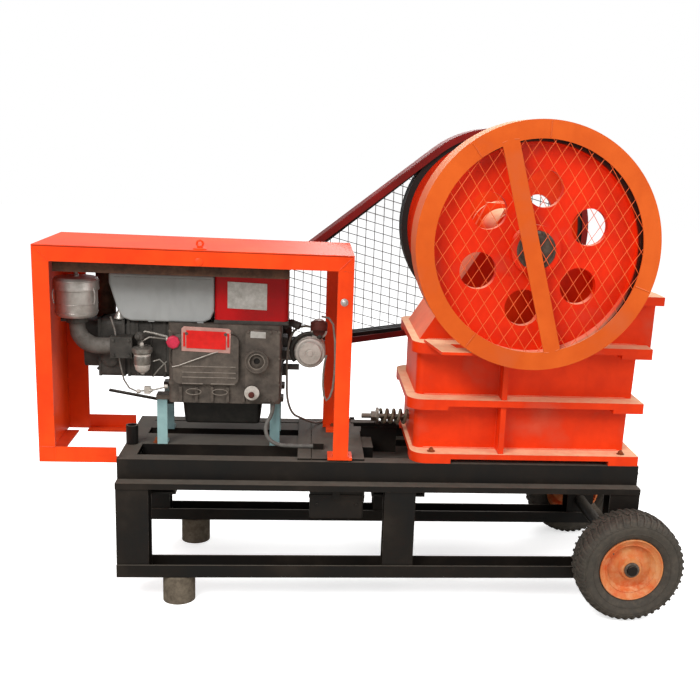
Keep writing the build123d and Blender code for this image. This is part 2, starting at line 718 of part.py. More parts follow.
# Arms from the crusher ledges and the cage out to both guards
ring_back = ring_front - ring_depth
stay_width = 46.0
strap_low = floor_z + high_ledge + seat
strap_top = strap_low + 8
strap_end = ring_x - sqrt(max(0.0, ring_radius**2 - (ring_z - strap_top) ** 2)) - seat
with BuildPart() as guard_stays:
    for z, depth in ((floor_z + high_ledge - 10, 18.0), (floor_z + rim_top - 13, 22.0)):
        near_x = ring_x + sqrt(max(0.0, (ring_radius - 2) ** 2 - (ring_z - z) ** 2))
        far_x = shaft_x + sqrt(max(0.0, (belt_radius + 2) ** 2 - (shaft_z - z) ** 2))
        with BuildSketch(Plane.XZ.offset(flange_outer + seat)):
            with Locations((near_x, z)):
                Rectangle(stay_width, depth)
        extrude(amount=ring_back - flange_outer - 2 * seat)
        with BuildSketch(Plane.XZ.offset(-flange_outer - seat)):
            with Locations((far_x, z)):
                Rectangle(stay_width, depth)
        extrude(amount=-(belt_front - flange_outer - 2 * seat))
    with BuildSketch(Plane.XZ.offset(-cage_far - seat)):
        with Locations((cage_right - 23, engine_z - 57)):
            Rectangle(44, 40)
    extrude(amount=-(belt_front - cage_far - 2 * seat))
    with BuildSketch(Plane.XY.offset(strap_low)):
        with BuildLine():
            Polyline(
                (strap_end - 116, -flange_outer + 20),
                (strap_end - 60, -flange_outer + 20),
                (strap_end - 36, -ring_back - 60),
                (strap_end, -ring_back - 60),
                (strap_end, -ring_front + 8),
                (strap_end - 86, -ring_front + 8),
                close=True,
            )
        make_face()
    extrude(amount=strap_top - strap_low)
guard_stays.part.label = "guard_stays"
export_step(guard_stays.part, "parts/guard_stays.step")

# Engine block with a bolted cover, cast ribs and a mounting flange
block_right = engine_x + 67
block_left = block_right - block_length
block_low = engine_z - 181
block_high = engine_z + 58
block_half = 110.0
foot = 14.0
bracket_y = (foot_near, foot_far)
with BuildPart() as crankcase:
    with BuildSketch(Plane.XY.offset(block_low)):
        with Locations(((block_left + block_right) / 2, 0)):
            RectangleRounded(block_right - block_left, 2 * block_half, 14)
    extrude(amount=block_high - block_low)
    with BuildSketch(Plane.XY.offset(block_low)):
        with Locations(*[(x, y) for x in (block_left - 12, block_right - 20) for y in bracket_y]):
            Rectangle(58, 44)
    extrude(amount=foot)
    with BuildSketch(Plane.XZ.offset(block_half)):
        with Locations((block_right - 54, (block_low + block_high) / 2)):
            RectangleRounded(100, block_high - block_low - 20, 18)
        with Locations((block_left + 110, (block_low + block_high) / 2 + 16)):
            RectangleRounded(190, 150, 20)
    extrude(amount=14)
    with BuildSketch(Plane.XZ.offset(block_half + 14)):
        with Locations((engine_x - 3, engine_z - 45)):
            Circle(33)
            Circle(22, mode=Mode.SUBTRACT)
        with Locations((engine_x - 17, engine_z - 140)):
            Circle(22)
    extrude(amount=16)
    with BuildSketch(Plane.XZ.offset(block_half)):
        with GridLocations(46, 1, 6, 1):
            with Locations(((block_left + block_right) / 2 - 14, block_low + 28)):
                Rectangle(8, 44)
    extrude(amount=8)
    with BuildSketch(Plane.XZ.offset(-block_half - 60)):
        with Locations((drive_x, drive_z)):
            Circle(26)
    extrude(amount=60)
crankcase.part.label = "crankcase"
export_step(crankcase.part, "parts/crankcase.step")

# Lying cylinder with its head and rocker cover
head_left = block_left - head_length
barrel_end = block_left - seat - 120
head_from = barrel_end - 12
cover_from = head_from - 72
with BuildPart() as cylinder_head:
    with BuildSketch(Plane.YZ.offset(block_left - seat)):
        with Locations((0, engine_z - 29)):
            RectangleRounded(150, 172, 16)
    extrude(amount=barrel_end - block_left + seat)
    with BuildSketch(Plane.YZ.offset(barrel_end)):
        with Locations((0, engine_z - 31)):
            RectangleRounded(140, 160, 12)
    extrude(amount=head_from - barrel_end)
    with BuildSketch(Plane.YZ.offset(head_from)):
        with Locations((0, engine_z - 29)):
            RectangleRounded(150, 172, 16)
    extrude(amount=cover_from - head_from)
    with BuildSketch(Plane.YZ.offset(cover_from)):
        with Locations((0, engine_z - 21)):
            RectangleRounded(128, 140, 24)
    extrude(amount=head_left - cover_from)
cylinder_head.part.label = "cylinder_head"
export_step(cylinder_head.part, "parts/cylinder_head.step")

with BuildPart() as oil_sump:
    with BuildSketch(Plane.XY.offset(block_low - seat)):
        with Locations((engine_x - 109, 0)):
            RectangleRounded(241, 124, 20)
    extrude(amount=-80, taper=6)
    fillet(oil_sump.faces().sort_by(Axis.Z)[0].edges(), 10)
oil_sump.part.label = "oil_sump"
export_step(oil_sump.part, "parts/oil_sump.step")

# Fuel tank and water hopper side by side on top of the engine
tank_low = block_high + seat
tank_high = engine_z + 199
tank_near = 95.0
tank_far = 75.0
hopper_left = engine_x - 130
hopper_right = engine_x + 86
tank_left = head_left + 81
with BuildPart() as fuel_tank:
    with BuildSketch(Plane.XZ.offset(tank_near)):
        with BuildLine():
            Polyline(
                (tank_left, tank_high),
                (tank_left, tank_high - 30),
                (tank_left + 24, tank_low + 30),
                (tank_left + 38, tank_low + 8),
                (tank_left + 62, tank_low),
                (hopper_left - 34, tank_low),
                (hopper_left - 12, tank_low + 10),
                (hopper_left - 1, tank_low + 36),
                (hopper_left - 1, tank_high),
                close=True,
            )
        make_face()
    extrude(amount=-(tank_near + tank_far))
    fillet(fuel_tank.edges().filter_by(Axis.Y), 8)
    fillet(fuel_tank.faces().group_by(Axis.Y)[0].edges(), 7)
    with BuildSketch(Plane.XY.offset(tank_high)):
        with Locations((tank_left + 90, 0)):
            Circle(28)
    extrude(amount=16)
fuel_tank.part.label = "fuel_tank"
export_step(fuel_tank.part, "parts/fuel_tank.step")

with BuildPart() as water_hopper:
    with BuildSketch(Plane.XY.offset(tank_low)):
        with Locations(((hopper_left + hopper_right) / 2, (tank_far - tank_near) / 2)):
            RectangleRounded(hopper_right - hopper_left, tank_near + tank_far, 14)
    extrude(amount=tank_high + 4 - tank_low)
    fillet(water_hopper.faces().sort_by(Axis.Z)[-1].edges(), 7)
    with BuildSketch(Plane.XY.offset(tank_high + 4)):
        with Locations(((hopper_left + hopper_right) / 2, 0)):
            Circle(32)
    extrude(amount=14)
water_hopper.part.label = "water_hopper"
export_step(water_hopper.part, "parts/water_hopper.step")

# Air cleaner can standing on the bent intake pipe
can_offset = 522.0             # air cleaner, from the starting bore
can_x = engine_x - can_offset
can_y = -101.0
can_low = engine_z + 70
can_high = engine_z + 187
with BuildPart() as air_cleaner:
    with BuildSketch(Plane.XZ):
        with BuildLine():
            Polyline(
                (0, can_low),
                (52, can_low),
                (60, can_low + 12),
                (60, can_low + 60),
                (65, can_low + 63),
                (65, can_low + 70),
                (61, can_low + 73),
                (61, can_high - 14),
                (50, can_high - 3),
                (18, can_high),
                (0, can_high),
                close=True,
            )
        make_face()
    revolve(axis=Axis.Z)
air_cleaner.part = Pos(can_x, can_y, 0) * air_cleaner.part
air_cleaner.part.label = "air_cleaner"
export_step(air_cleaner.part, "parts/air_cleaner.step")

pipe_radius = 23.0
port_offset = 133.0            # intake flange, from the end of the block
port_x = block_left - port_offset
pipe_bend = 58.0
port_z = engine_z - 16
with BuildPart() as intake_elbow:
    with BuildLine() as route:
        FilletPolyline(
            (can_x, can_y, can_low - seat),
            (can_x, can_y, port_z),
            (port_x - 25, can_y, port_z),
            radius=min(pipe_bend, port_x - 26 - can_x, can_low - port_z - 1),
        )
    with BuildSketch(Plane(origin=route.line @ 0, z_dir=route.line % 0)):
        Circle(pipe_radius)
    sweep()
    with BuildSketch(Plane.XZ.offset(75 + seat)):
        with Locations((port_x, port_z)):
            RectangleRounded(62, 62, 8)
    extrude(amount=52)
intake_elbow.part.label = "intake_elbow"
export_step(intake_elbow.part, "parts/intake_elbow.step")

filter_offset = 325.0          # fuel filter, from the starting bore
filter_x = engine_x - filter_offset
filter_y = -117.0
with BuildPart() as fuel_filter:
    with BuildSketch(Plane.XY.offset(engine_z - 33)):
        with Locations((filter_x, filter_y)):
            Circle(29)
        with Locations((filter_x, (filter_y - 75) / 2 - seat)):
            Rectangle(30, -75 - filter_y - 2 * seat)
    extrude(amount=20)
    with BuildSketch(Plane.XY.offset(engine_z - 95)):
        with Locations((filter_x, filter_y)):
            Circle(26)
    extrude(amount=62)
    fillet(fuel_filter.faces().sort_by(Axis.Z)[0].edges(), 8)
fuel_filter.part.label = "fuel_filter"
export_step(fuel_filter.part, "parts/fuel_filter.step")

# Engine flywheel and its small grooved pulley on the crankshaft
disc = 150.0
with BuildPart() as engine_flywheel:
    with BuildSketch(Plane((drive_x, 0, drive_z))):
        with BuildLine():
            small_line = [(pulley_small, wheel_face + 2)]
            for offset in grooves:
                y = pulley_mid + offset
                small_line.append((pulley_small, y - groove_width / 2))
                small_line.append((pulley_small - groove_depth, y - groove_width / 2))
                small_line.append((pulley_small - groove_depth, y + groove_width / 2))
                small_line.append((pulley_small, y + groove_width / 2))
            small_line.append((pulley_small, wheel_face + wheel_width - 2))
            Polyline(
                (0, block_half + seat),
                (40, block_half + seat),
                (40, block_half + 28),
                (disc - 18, block_half + 36),
                (disc - 18, block_half + 24),
                (disc, block_half + 24),
                (disc, block_half + 88),
                (disc - 18, block_half + 88),
                (disc - 18, block_half + 58),
                (44, block_half + 62),
                (44, wheel_face + 2),
                *small_line,
                (0, wheel_face + wheel_width - 2),
                close=True,
            )
        make_face()
    revolve(axis=Axis((drive_x, 0, drive_z), (0, 1, 0)))
    with BuildSketch(Plane.XZ.offset(-block_half)):
        with Locations((drive_x, drive_z)):
            Circle(28)
    extrude(amount=-61, mode=Mode.SUBTRACT)
engine_flywheel.part.label = "engine_flywheel"
export_step(engine_flywheel.part, "parts/engine_flywheel.step")

# Alternator beside the block with its strap, and the round regulator on top of it
alternator_x = engine_x + 153
alternator_z = engine_z - 32
with BuildPart() as alternator:
    with BuildSketch(Plane.XZ.offset(60)):
        with Locations((alternator_x, alternator_z)):
            Circle(46)
    extrude(amount=-112)
    fillet(alternator.edges().filter_by(GeomType.CIRCLE), 6)
    with BuildSketch(Plane.XZ.offset(64)):
        with Locations((alternator_x, alternator_z)):
            Circle(16)
    extrude(amount=-122)
    with BuildSketch(Plane.XZ.offset(8)):
        with Locations((block_right + seat, alternator_z - 20)):
            Rectangle(alternator_x - block_right - seat, 30, align=(Align.MIN, Align.CENTER))
    extrude(amount=-16)
    with BuildSketch(Plane.XZ.offset(34)):
        with Locations((alternator_x + 26, alternator_z + 66)):
            Circle(25)
        with Locations((alternator_x + 18, alternator_z + 45)):
            Rectangle(24, 20)
    extrude(amount=-70)
alternator.part.label = "alternator"
export_step(alternator.part, "parts/alternator.step")

# Sleeved wiring from under the block to the terminal block on the deck
sleeve_radius = 6.0
sleeve_rest = skid_top + deck_thick + sleeve_radius + 2 * seat
with BuildPart() as sleeve_cable:
    with BuildLine() as sleeve_route:
        FilletPolyline(
            (-290, -98, block_low - seat),
            (-290, -98, 543),
            (-312, -112, 512),
            (-306, -122, 474),
            (-276, -121, 451),
            (-225, terminal_y, sleeve_rest),
            (terminal_x - seat, terminal_y, sleeve_rest),
            radius=34,
        )
    with BuildSketch(Plane(origin=sleeve_route.line @ 0, z_dir=sleeve_route.line % 0)):
        Circle(sleeve_radius)
    sweep()
sleeve_cable.part.label = "sleeve_cable"
export_step(sleeve_cable.part, "parts/sleeve_cable.step")

# Battery lead that hangs from the regulator past the block and lies on the deck
lead_radius = 3.5
lead_rest = skid_top + deck_thick + lead_radius + 2 * seat
with BuildPart() as lead_cable:
    with BuildLine() as lead_route:
        FilletPolyline(
            (-181.5, -8, 797),
            (-212, -12, 803),
            (-242, -30, 776),
            (-252, -50, 718),
            (-250, -60, 646),
            (-249, -62, 580),
            (-232, -52, 530),
            (-206, 14, 500),
            (-180, 86, 468),
            (-152, 148, lead_rest),
            (-116, 194, lead_rest),
            (-76, clip_y, lead_rest),
            (clip_x - seat, clip_y, lead_rest),
            radius=26,
        )
    with BuildSketch(Plane(origin=lead_route.line @ 0, z_dir=lead_route.line % 0)):
        Circle(lead_radius)
    sweep()
lead_cable.part.label = "lead_cable"
export_step(lead_cable.part, "parts/lead_cable.step")

# Four webbed brackets carry the engine foot above the rails
bracket_spots = [(x, y) for x in (block_left - 24, block_right - 16) for y in bracket_y]
bracket_width = 30.0
bracket_low = skid_top + seat
bracket_high = block_low - seat
with BuildPart() as engine_brackets:
    for low, high, depth in (
        (bracket_low, bracket_low + 8, 40.0),
        (bracket_high - 8, bracket_high, 40.0),
    ):
        with BuildSketch(Plane.XY.offset(low)):
            with Locations(*bracket_spots):
                Rectangle(bracket_width, depth)
        extrude(amount=high - low)
    with BuildSketch(Plane.XY.offset(bracket_low)):
        with Locations(*bracket_spots):
            Rectangle(7, 40)
        with Locations(*[(x, y - 16.5) for x, y in bracket_spots]):
            Rectangle(bracket_width, 7)
    extrude(amount=bracket_high - bracket_low)
engine_brackets.part.label = "engine_brackets"
export_step(engine_brackets.part, "parts/engine_brackets.step")

# Engine cage: angle posts, a stepped floor frame beyond the skid, and bolted feet on the right
angle_wall = 5.0
far_angle = 70.0              # the far posts have one wide leg
post_top = cage_top_z - cage_angle - seat
post_feet = skid_top + 2 * seat + angle_wall
with BuildPart() as cage_frame:
    for x, face_x, low in ((cage_left, 1, cage_floor), (cage_right, -1, post_feet)):
        for y, face_y, leg in ((cage_near, 1, cage_angle), (cage_far, -1, far_angle)):
            with BuildSketch(Plane.XY.offset(low)):
                with Locations((x + face_x * leg / 2, y + face_y * angle_wall / 2)):
                    Rectangle(leg, angle_wall)
                with Locations((x + face_x * angle_wall / 2, y + face_y * cage_angle / 2)):
                    Rectangle(angle_wall, cage_angle)
            extrude(amount=post_top - low)
            if face_x < 0:
                with BuildSketch(Plane.XY.offset(low)):
                    with Locations((x - 24, y + face_y * 32)):
                        Rectangle(72, 64)
                extrude(amount=8)
    step_to = frame_left - seat
    for y, face_y, leg in ((cage_near, 1, cage_angle), (cage_far, -1, far_angle)):
        step_from = cage_left + leg + seat
        with BuildSketch(Plane.YZ.offset(step_from)):
            with Locations((y + face_y * angle_wall / 2, cage_floor + cage_angle / 2)):
                Rectangle(angle_wall, cage_angle)
            with Locations((y + face_y * cage_angle / 2, cage_floor + angle_wall / 2)):
                Rectangle(cage_angle, angle_wall)
        extrude(amount=step_to - step_from)
    with BuildSketch(Plane.XZ.offset(-(cage_near + cage_angle + seat))):
        with Locations((cage_left + angle_wall / 2, cage_floor + cage_angle / 2)):
            Rectangle(angle_wall, cage_angle)
        with Locations((cage_left + cage_angle / 2, cage_floor + angle_wall / 2)):
            Rectangle(cage_angle, angle_wall)
    extrude(amount=-(cage_depth - 2 * cage_angle - 2 * seat))
cage_frame.part.label = "cage_frame"
export_step(cage_frame.part, "parts/cage_frame.step")

# Sheet roof with turned-down edges, and the sheet that closes the left end
with BuildPart() as cage_sheets:
    with BuildSketch(Plane.XY.offset(cage_top_z - cage_angle)):
        with Locations(((cage_left + cage_right) / 2, (cage_near + cage_far) / 2)):
            Rectangle(cage_right - cage_left, cage_depth)
            Rectangle(cage_right - cage_left - 2 * angle_wall, cage_depth - 2 * angle_wall, mode=Mode.SUBTRACT)
    extrude(amount=cage_angle)
    with BuildSketch(Plane.XY.offset(cage_top_z - 3)):
        with Locations(((cage_left + cage_right) / 2, (cage_near + cage_far) / 2)):
            Rectangle(cage_right - cage_left, cage_depth)
    extrude(amount=3)
    with BuildSketch(Plane.YZ.offset(cage_left + angle_wall + seat)):
        with Locations(((cage_near + cage_far) / 2, cage_floor + angle_wall + seat)):
            Rectangle(
                cage_depth - 2 * angle_wall - 2 * seat,
                cage_top_z - 3 - 2 * seat - cage_floor - angle_wall,
                align=(Align.CENTER, Align.MIN),
            )
    extrude(amount=2)
cage_sheets.part.label = "cage_sheets"
export_step(cage_sheets.part, "parts/cage_sheets.step")

# Wheels: rubber tyres on dished rims
rim_radius = 96.0
tyre_outline = [
    (rim_radius, -0.36),
    (118.0, -0.47),
    (138.0, -0.5),
    (154.0, -0.46),
    (163.0, -0.36),
    (165.0, -0.2),
    (165.0, 0.2),
    (163.0, 0.36),
    (154.0, 0.46),
    (138.0, 0.5),
    (118.0, 0.47),
    (rim_radius, 0.36),
]
axle_line = Axis((wheel_x, 0, tyre_radius), (0, 1, 0))
with BuildPart() as near_tyre:
    with BuildSketch(Plane((wheel_x, 0, tyre_radius))):
        with BuildLine():
            Polyline(*[(r * tyre_radius / 165, y * tyre_width - wheel_y) for r, y in tyre_outline], close=True)
        make_face()
    revolve(axis=axle_line)
near_tyre.part.label = "near_tyre"
export_step(near_tyre.part, "parts/near_tyre.step")

with BuildPart() as far_tyre:
    with BuildSketch(Plane((wheel_x, 0, tyre_radius))):
        with BuildLine():
            Polyline(*[(r * tyre_radius / 165, y * tyre_width + wheel_y) for r, y in tyre_outline], close=True)
        make_face()
    revolve(axis=axle_line)
far_tyre.part.label = "far_tyre"
export_step(far_tyre.part, "parts/far_tyre.step")

rim_edge = rim_radius * tyre_radius / 165 - seat
rim_outline = [
    (axle_pin + run_gap, -hub_half),
    (axle_pin + run_gap, hub_half),
    (30, hub_half),
    (36, 22),
    (66, 18),
    (76, 34),
    (rim_edge, 44),
    (rim_edge, -44),
    (rim_edge - 6, -44),
    (rim_edge - 8, 28),
    (76, 24),
    (68, 8),
    (36, 10),
    (30, -hub_half),
]
with BuildPart() as near_rim:
    with BuildSketch(Plane((wheel_x, 0, tyre_radius))):
        with BuildLine():
            Polyline(*[(r, -y - wheel_y) for r, y in rim_outline], close=True)
        make_face()
    revolve(axis=axle_line)
near_rim.part.label = "near_rim"
export_step(near_rim.part, "parts/near_rim.step")

with BuildPart() as far_rim:
    with BuildSketch(Plane((wheel_x, 0, tyre_radius))):
        with BuildLine():
            Polyline(*[(r, y + wheel_y) for r, y in rim_outline], close=True)
        make_face()
    revolve(axis=axle_line)
far_rim.part.label = "far_rim"
export_step(far_rim.part, "parts/far_rim.step")
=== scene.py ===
import math
import random

import bmesh
import bpy
from mathutils import Matrix, Vector


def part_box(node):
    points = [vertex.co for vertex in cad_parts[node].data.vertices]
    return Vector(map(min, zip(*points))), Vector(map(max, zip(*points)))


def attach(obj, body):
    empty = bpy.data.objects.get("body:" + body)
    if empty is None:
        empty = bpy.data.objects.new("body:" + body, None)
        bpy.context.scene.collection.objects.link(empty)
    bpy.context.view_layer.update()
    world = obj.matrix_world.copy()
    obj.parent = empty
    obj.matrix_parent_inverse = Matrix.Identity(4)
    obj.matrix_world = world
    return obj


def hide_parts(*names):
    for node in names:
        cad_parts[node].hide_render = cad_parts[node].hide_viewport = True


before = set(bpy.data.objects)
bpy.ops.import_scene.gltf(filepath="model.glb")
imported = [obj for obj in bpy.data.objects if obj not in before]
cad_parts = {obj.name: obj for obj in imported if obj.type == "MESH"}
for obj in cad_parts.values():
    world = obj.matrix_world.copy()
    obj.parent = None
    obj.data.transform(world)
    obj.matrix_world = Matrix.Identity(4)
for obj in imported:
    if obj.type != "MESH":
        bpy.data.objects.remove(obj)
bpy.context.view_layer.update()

MM = 0.001
random.seed(7)

# Directions: up, and towards the camera's side of the machine
UP = (0, 0, 1)
NEAR = (0, -1, 0)

# Camera at the photograph's place: in front of the machine, a little to the left and above it.
# The focal length and the centre of its picture are in pixels of the square photograph
PHOTO_SIZE = 700
FOCAL_LENGTH = 1002.8
CENTRE_RIGHT, CENTRE_DOWN = 417, 383.4
SENSOR_WIDTH = 36.0
CAMERA_PLACE = Vector((-198.8, -3058.3, 1374.2)) * MM
YAW = 0.1158
PITCH = -0.2390
ROLL = 0.0510
camera_data = bpy.data.cameras.new("camera")
camera = bpy.data.objects.new("camera", camera_data)
bpy.context.scene.collection.objects.link(camera)
forward = Vector((math.sin(YAW) * math.cos(PITCH), math.cos(YAW) * math.cos(PITCH), math.sin(PITCH)))
level = Vector((math.cos(YAW), -math.sin(YAW), 0.0))
upright = level.cross(forward)
right = level * math.cos(ROLL) + upright * math.sin(ROLL)
up = upright * math.cos(ROLL) - level * math.sin(ROLL)
camera.matrix_world = Matrix.Translation(CAMERA_PLACE) @ Matrix((right, up, -forward)).transposed().to_4x4()
camera_data.sensor_width = SENSOR_WIDTH
camera_data.lens = FOCAL_LENGTH / PHOTO_SIZE * SENSOR_WIDTH
camera_data.shift_x = (PHOTO_SIZE / 2 - CENTRE_RIGHT) / PHOTO_SIZE
camera_data.shift_y = (CENTRE_DOWN - PHOTO_SIZE / 2) / PHOTO_SIZE
camera_data.clip_end = 100
bpy.context.scene.camera = camera
bpy.context.scene.view_settings.view_transform = "Standard"


def extent(node):
    """The low corner, the high corner and the middle of a node's box, in millimetres."""
    low, high = ([v / MM for v in corner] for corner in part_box(node))
    return low, high, [(a + b) / 2 for a, b in zip(low, high)]


# Places that the frame gives
ring_low, ring_high, (RING_X, _, RING_Z) = extent("guard_ring")
RING_RADIUS = (ring_high[0] - ring_low[0]) / 2
RING_FRONT = ring_low[1]
RING_OPENING = RING_RADIUS - 50
SHAFT_X, _, SHAFT_Z = extent("flywheel")[2]
band_low, band_high, _ = extent("belt_guard_band")
BAND_RADIUS = band_high[2] - SHAFT_Z - 4
SMALL_RADIUS = 95.0
DRIVE_X = band_low[0] + SMALL_RADIUS + 4
DRIVE_Z = band_low[2] + SMALL_RADIUS + 4
BAND_BACK = band_high[1]
LEDGE_Y = extent("side_plates")[1][1]
WALL_Y = LEDGE_Y - 62
BLOCK_LEFT = extent("crankcase")[0][0] + 41
COVER_Y = -124.0
hopper_low, hopper_high, _ = extent("water_hopper")
tank_low, tank_high, _ = extent("fuel_tank")
cage_low, cage_high, _ = extent("cage_sheets")
CAGE_Y = cage_low[1]
tyre_low, tyre_high, (WHEEL_X, tyre_y, _) = extent("near_tyre")
TYRE_RADIUS = (tyre_high[2] - tyre_low[2]) / 2
WHEEL_Y = -tyre_y
box_low, box_high, _ = extent("battery_box")
can_low, can_high, (CAN_X, CAN_Y, _) = extent("air_cleaner")
spring_low, spring_high, (_, _, SPRING_Z) = extent("tension_spring")
SKID_TOP = 435.0
FLOOR_Z = 465.3


# Colours are written as sRGB hex and turned to linear here
def tone(code):
    parts = []
    for i in (0, 2, 4):
        c = int(code[i:i + 2], 16) / 255
        parts.append(c / 12.92 if c <= 0.04045 else ((c + 0.055) / 1.055) ** 2.4)
    return (*parts, 1.0)


# Adds one shader node with its settings, values and links
def add(tree, kind, values=None, links=None, **settings):
    node = tree.nodes.new(kind)
    for key, value in settings.items():
        setattr(node, key, value)
    for socket, value in (values or {}).items():
        node.inputs[socket].default_value = value
    for socket, source in (links or {}).items():
        tree.links.new(source, node.inputs[socket])
    return node


def new_tree(name):
    material = bpy.data.materials.new(name)
    material.use_nodes = True
    tree = material.node_tree
    tree.nodes.clear()
    return material, tree


def noise(tree, place, size_mm, detail, roughness=0.5):
    """Noise with features of about this size in millimetres."""
    values = {"Scale": 1000.0 / size_mm, "Detail": detail, "Roughness": roughness}
    return add(tree, "ShaderNodeTexNoise", values, {"Vector": place}).outputs["Fac"]


def remap(tree, value, low, high, to_low=0.0, to_high=1.0):
    """Stretches the values between low and high over a new range, and cuts off the rest."""
    values = {"From Min": low, "From Max": high, "To Min": to_low, "To Max": to_high}
    return add(tree, "ShaderNodeMapRange", values, {"Value": value}).outputs["Result"]


def combine(tree, first, second, operation="MULTIPLY"):
    return add(tree, "ShaderNodeMath", None, {0: first, 1: second}, operation=operation).outputs["Value"]


def blend(tree, share, under, over):
    """Lays one colour over another. Each is a hex code or the socket that gives the colour."""
    values, links = {}, {0: share}
    for socket, colour in ((6, under), (7, over)):
        if isinstance(colour, str):
            values[socket] = tone(colour)
        else:
            links[socket] = colour
    return add(tree, "ShaderNodeMix", values, links, data_type="RGBA").outputs[2]


def rough_skin(tree, height, strength, depth_mm, under=None):
    """A bump this deep, laid over another one where it is given."""
    links = {"Height": height, "Normal": under} if under else {"Height": height}
    values = {"Strength": strength, "Distance": depth_mm * MM}
    return add(tree, "ShaderNodeBump", values, links).outputs["Normal"]


def close(tree, colour, roughness, normal, values):
    """The shader and the output at the end of every material of the model."""
    links = {"Base Color": colour, "Roughness": roughness, "Normal": normal}
    shader = add(tree, "ShaderNodeBsdfPrincipled", {"IOR": 1.5, **values}, links)
    add(tree, "ShaderNodeOutputMaterial", None, {"Surface": shader.outputs["BSDF"]})


# Sprayed enamel on welded steel: patchy colour, orange peel, dust with a painted sky sheen on ledges, bare
# metal at worn edges
def enamel(name, base, deep, dust_and_sheen, bare, roughness, dust_and_sheen_share, wear_share, coat=0.0, edge_band=None):
    material, tree = new_tree(name)
    place = add(tree, "ShaderNodeTexCoord").outputs["Object"]
    facing = add(tree, "ShaderNodeNewGeometry").outputs["Normal"]
    patches = noise(tree, place, 160, 4.0, 0.6)
    colour = blend(tree, remap(tree, patches, 0.36, 0.68), base, deep)
    drawn_down = add(tree, "ShaderNodeMapping", {"Scale": (1.0, 1.0, 0.16)}, {"Vector": place})
    streaks = noise(tree, drawn_down.outputs["Vector"], 26, 3.0)
    colour = blend(tree, remap(tree, streaks, 0.52, 0.78, 0.0, 0.35), colour, deep)
    # A band of another colour outside a radius about the shaft: painted shade on the flywheel, blackening by
    # the belts on the pulley
    if edge_band:
        radius, band_colour = edge_band
        axis = {1: (SHAFT_X * MM, 0.0, SHAFT_Z * MM)}
        flat = add(tree, "ShaderNodeVectorMath", {1: (1.0, 0.0, 1.0)}, {0: place}, operation="MULTIPLY")
        reach = add(tree, "ShaderNodeVectorMath", axis, {0: flat.outputs["Vector"]}, operation="DISTANCE")
        outer = remap(tree, reach.outputs["Value"], (radius - 1) * MM, (radius + 1) * MM)
        colour = blend(tree, outer, colour, band_colour)
    # Up-facing faces get a pale film that is partly dust and partly a painted sheen of the sky
    height = add(tree, "ShaderNodeSeparateXYZ", None, {"Vector": facing}).outputs["Z"]
    patchy_dust_and_sheen = remap(tree, noise(tree, place, 38, 6.0, 0.7), 0.4, 0.72, dust_and_sheen_share * 0.7, dust_and_sheen_share)
    dust_and_sheen_on_tops = combine(tree, remap(tree, height, 0.35, 0.95), patchy_dust_and_sheen)
    thin = remap(tree, patches, 0.55, 0.8, 0.0, dust_and_sheen_share * 0.1)
    dust_and_sheen_film = combine(tree, dust_and_sheen_on_tops, thin, "MAXIMUM")
    colour = blend(tree, dust_and_sheen_film, colour, dust_and_sheen)
    rounded = add(tree, "ShaderNodeBevel", {"Radius": 2.5 * MM}, samples=4).outputs["Normal"]
    agree = add(tree, "ShaderNodeVectorMath", None, {0: rounded, 1: facing}, operation="DOT_PRODUCT")
    edge = remap(tree, agree.outputs["Value"], 0.97, 0.86)
    chips = remap(tree, noise(tree, place, 14, 5.0, 0.75), 0.6 - wear_share * 0.2, 0.7)
    colour = blend(tree, combine(tree, edge, chips), colour, bare)
    peel = rough_skin(tree, noise(tree, place, 3.5, 2.0), 0.18, 0.4)
    buckle = rough_skin(tree, noise(tree, place, 90, 1.0), 0.35, 2.0, peel)
    gloss = remap(tree, dust_and_sheen_film, 0.0, 1.0, roughness, 0.85)
    close(
        tree, colour, gloss, buckle, {"Specular IOR Level": 0.18, "Coat Weight": coat,
        "Coat Roughness": 0.18})
    return material


# Rough or bare surfaces: two tones in patches of a real size, grease or dust over them, and a grain
def surface(name, light, dark, stain, patch_mm, grain_mm, grain_depth_mm, roughness, metallic, stain_share):
    material, tree = new_tree(name)
    place = add(tree, "ShaderNodeTexCoord").outputs["Object"]
    facing = add(tree, "ShaderNodeNewGeometry").outputs["Normal"]
    colour = blend(tree, remap(tree, noise(tree, place, patch_mm, 5.0, 0.65), 0.35, 0.66), light, dark)
    soil = remap(tree, noise(tree, place, patch_mm * 0.37, 6.0, 0.7), 0.46, 0.66, 0.0, stain_share)
    height = add(tree, "ShaderNodeSeparateXYZ", None, {"Vector": facing}).outputs["Z"]
    soiled = combine(tree, soil, remap(tree, height, 0.2, 0.95, 0.55, 1.0))
    colour = blend(tree, soiled, colour, stain)
    grain = rough_skin(tree, noise(tree, place, grain_mm, 3.0), 0.6, grain_depth_mm)
    gloss = remap(tree, soil, 0.0, 1.0, roughness, min(1.0, roughness + 0.3))
    glint = 0.5 if metallic > 0.3 else 0.22
    close(tree, colour, gloss, grain, {"Metallic": metallic, "Specular IOR Level": glint})
    return material
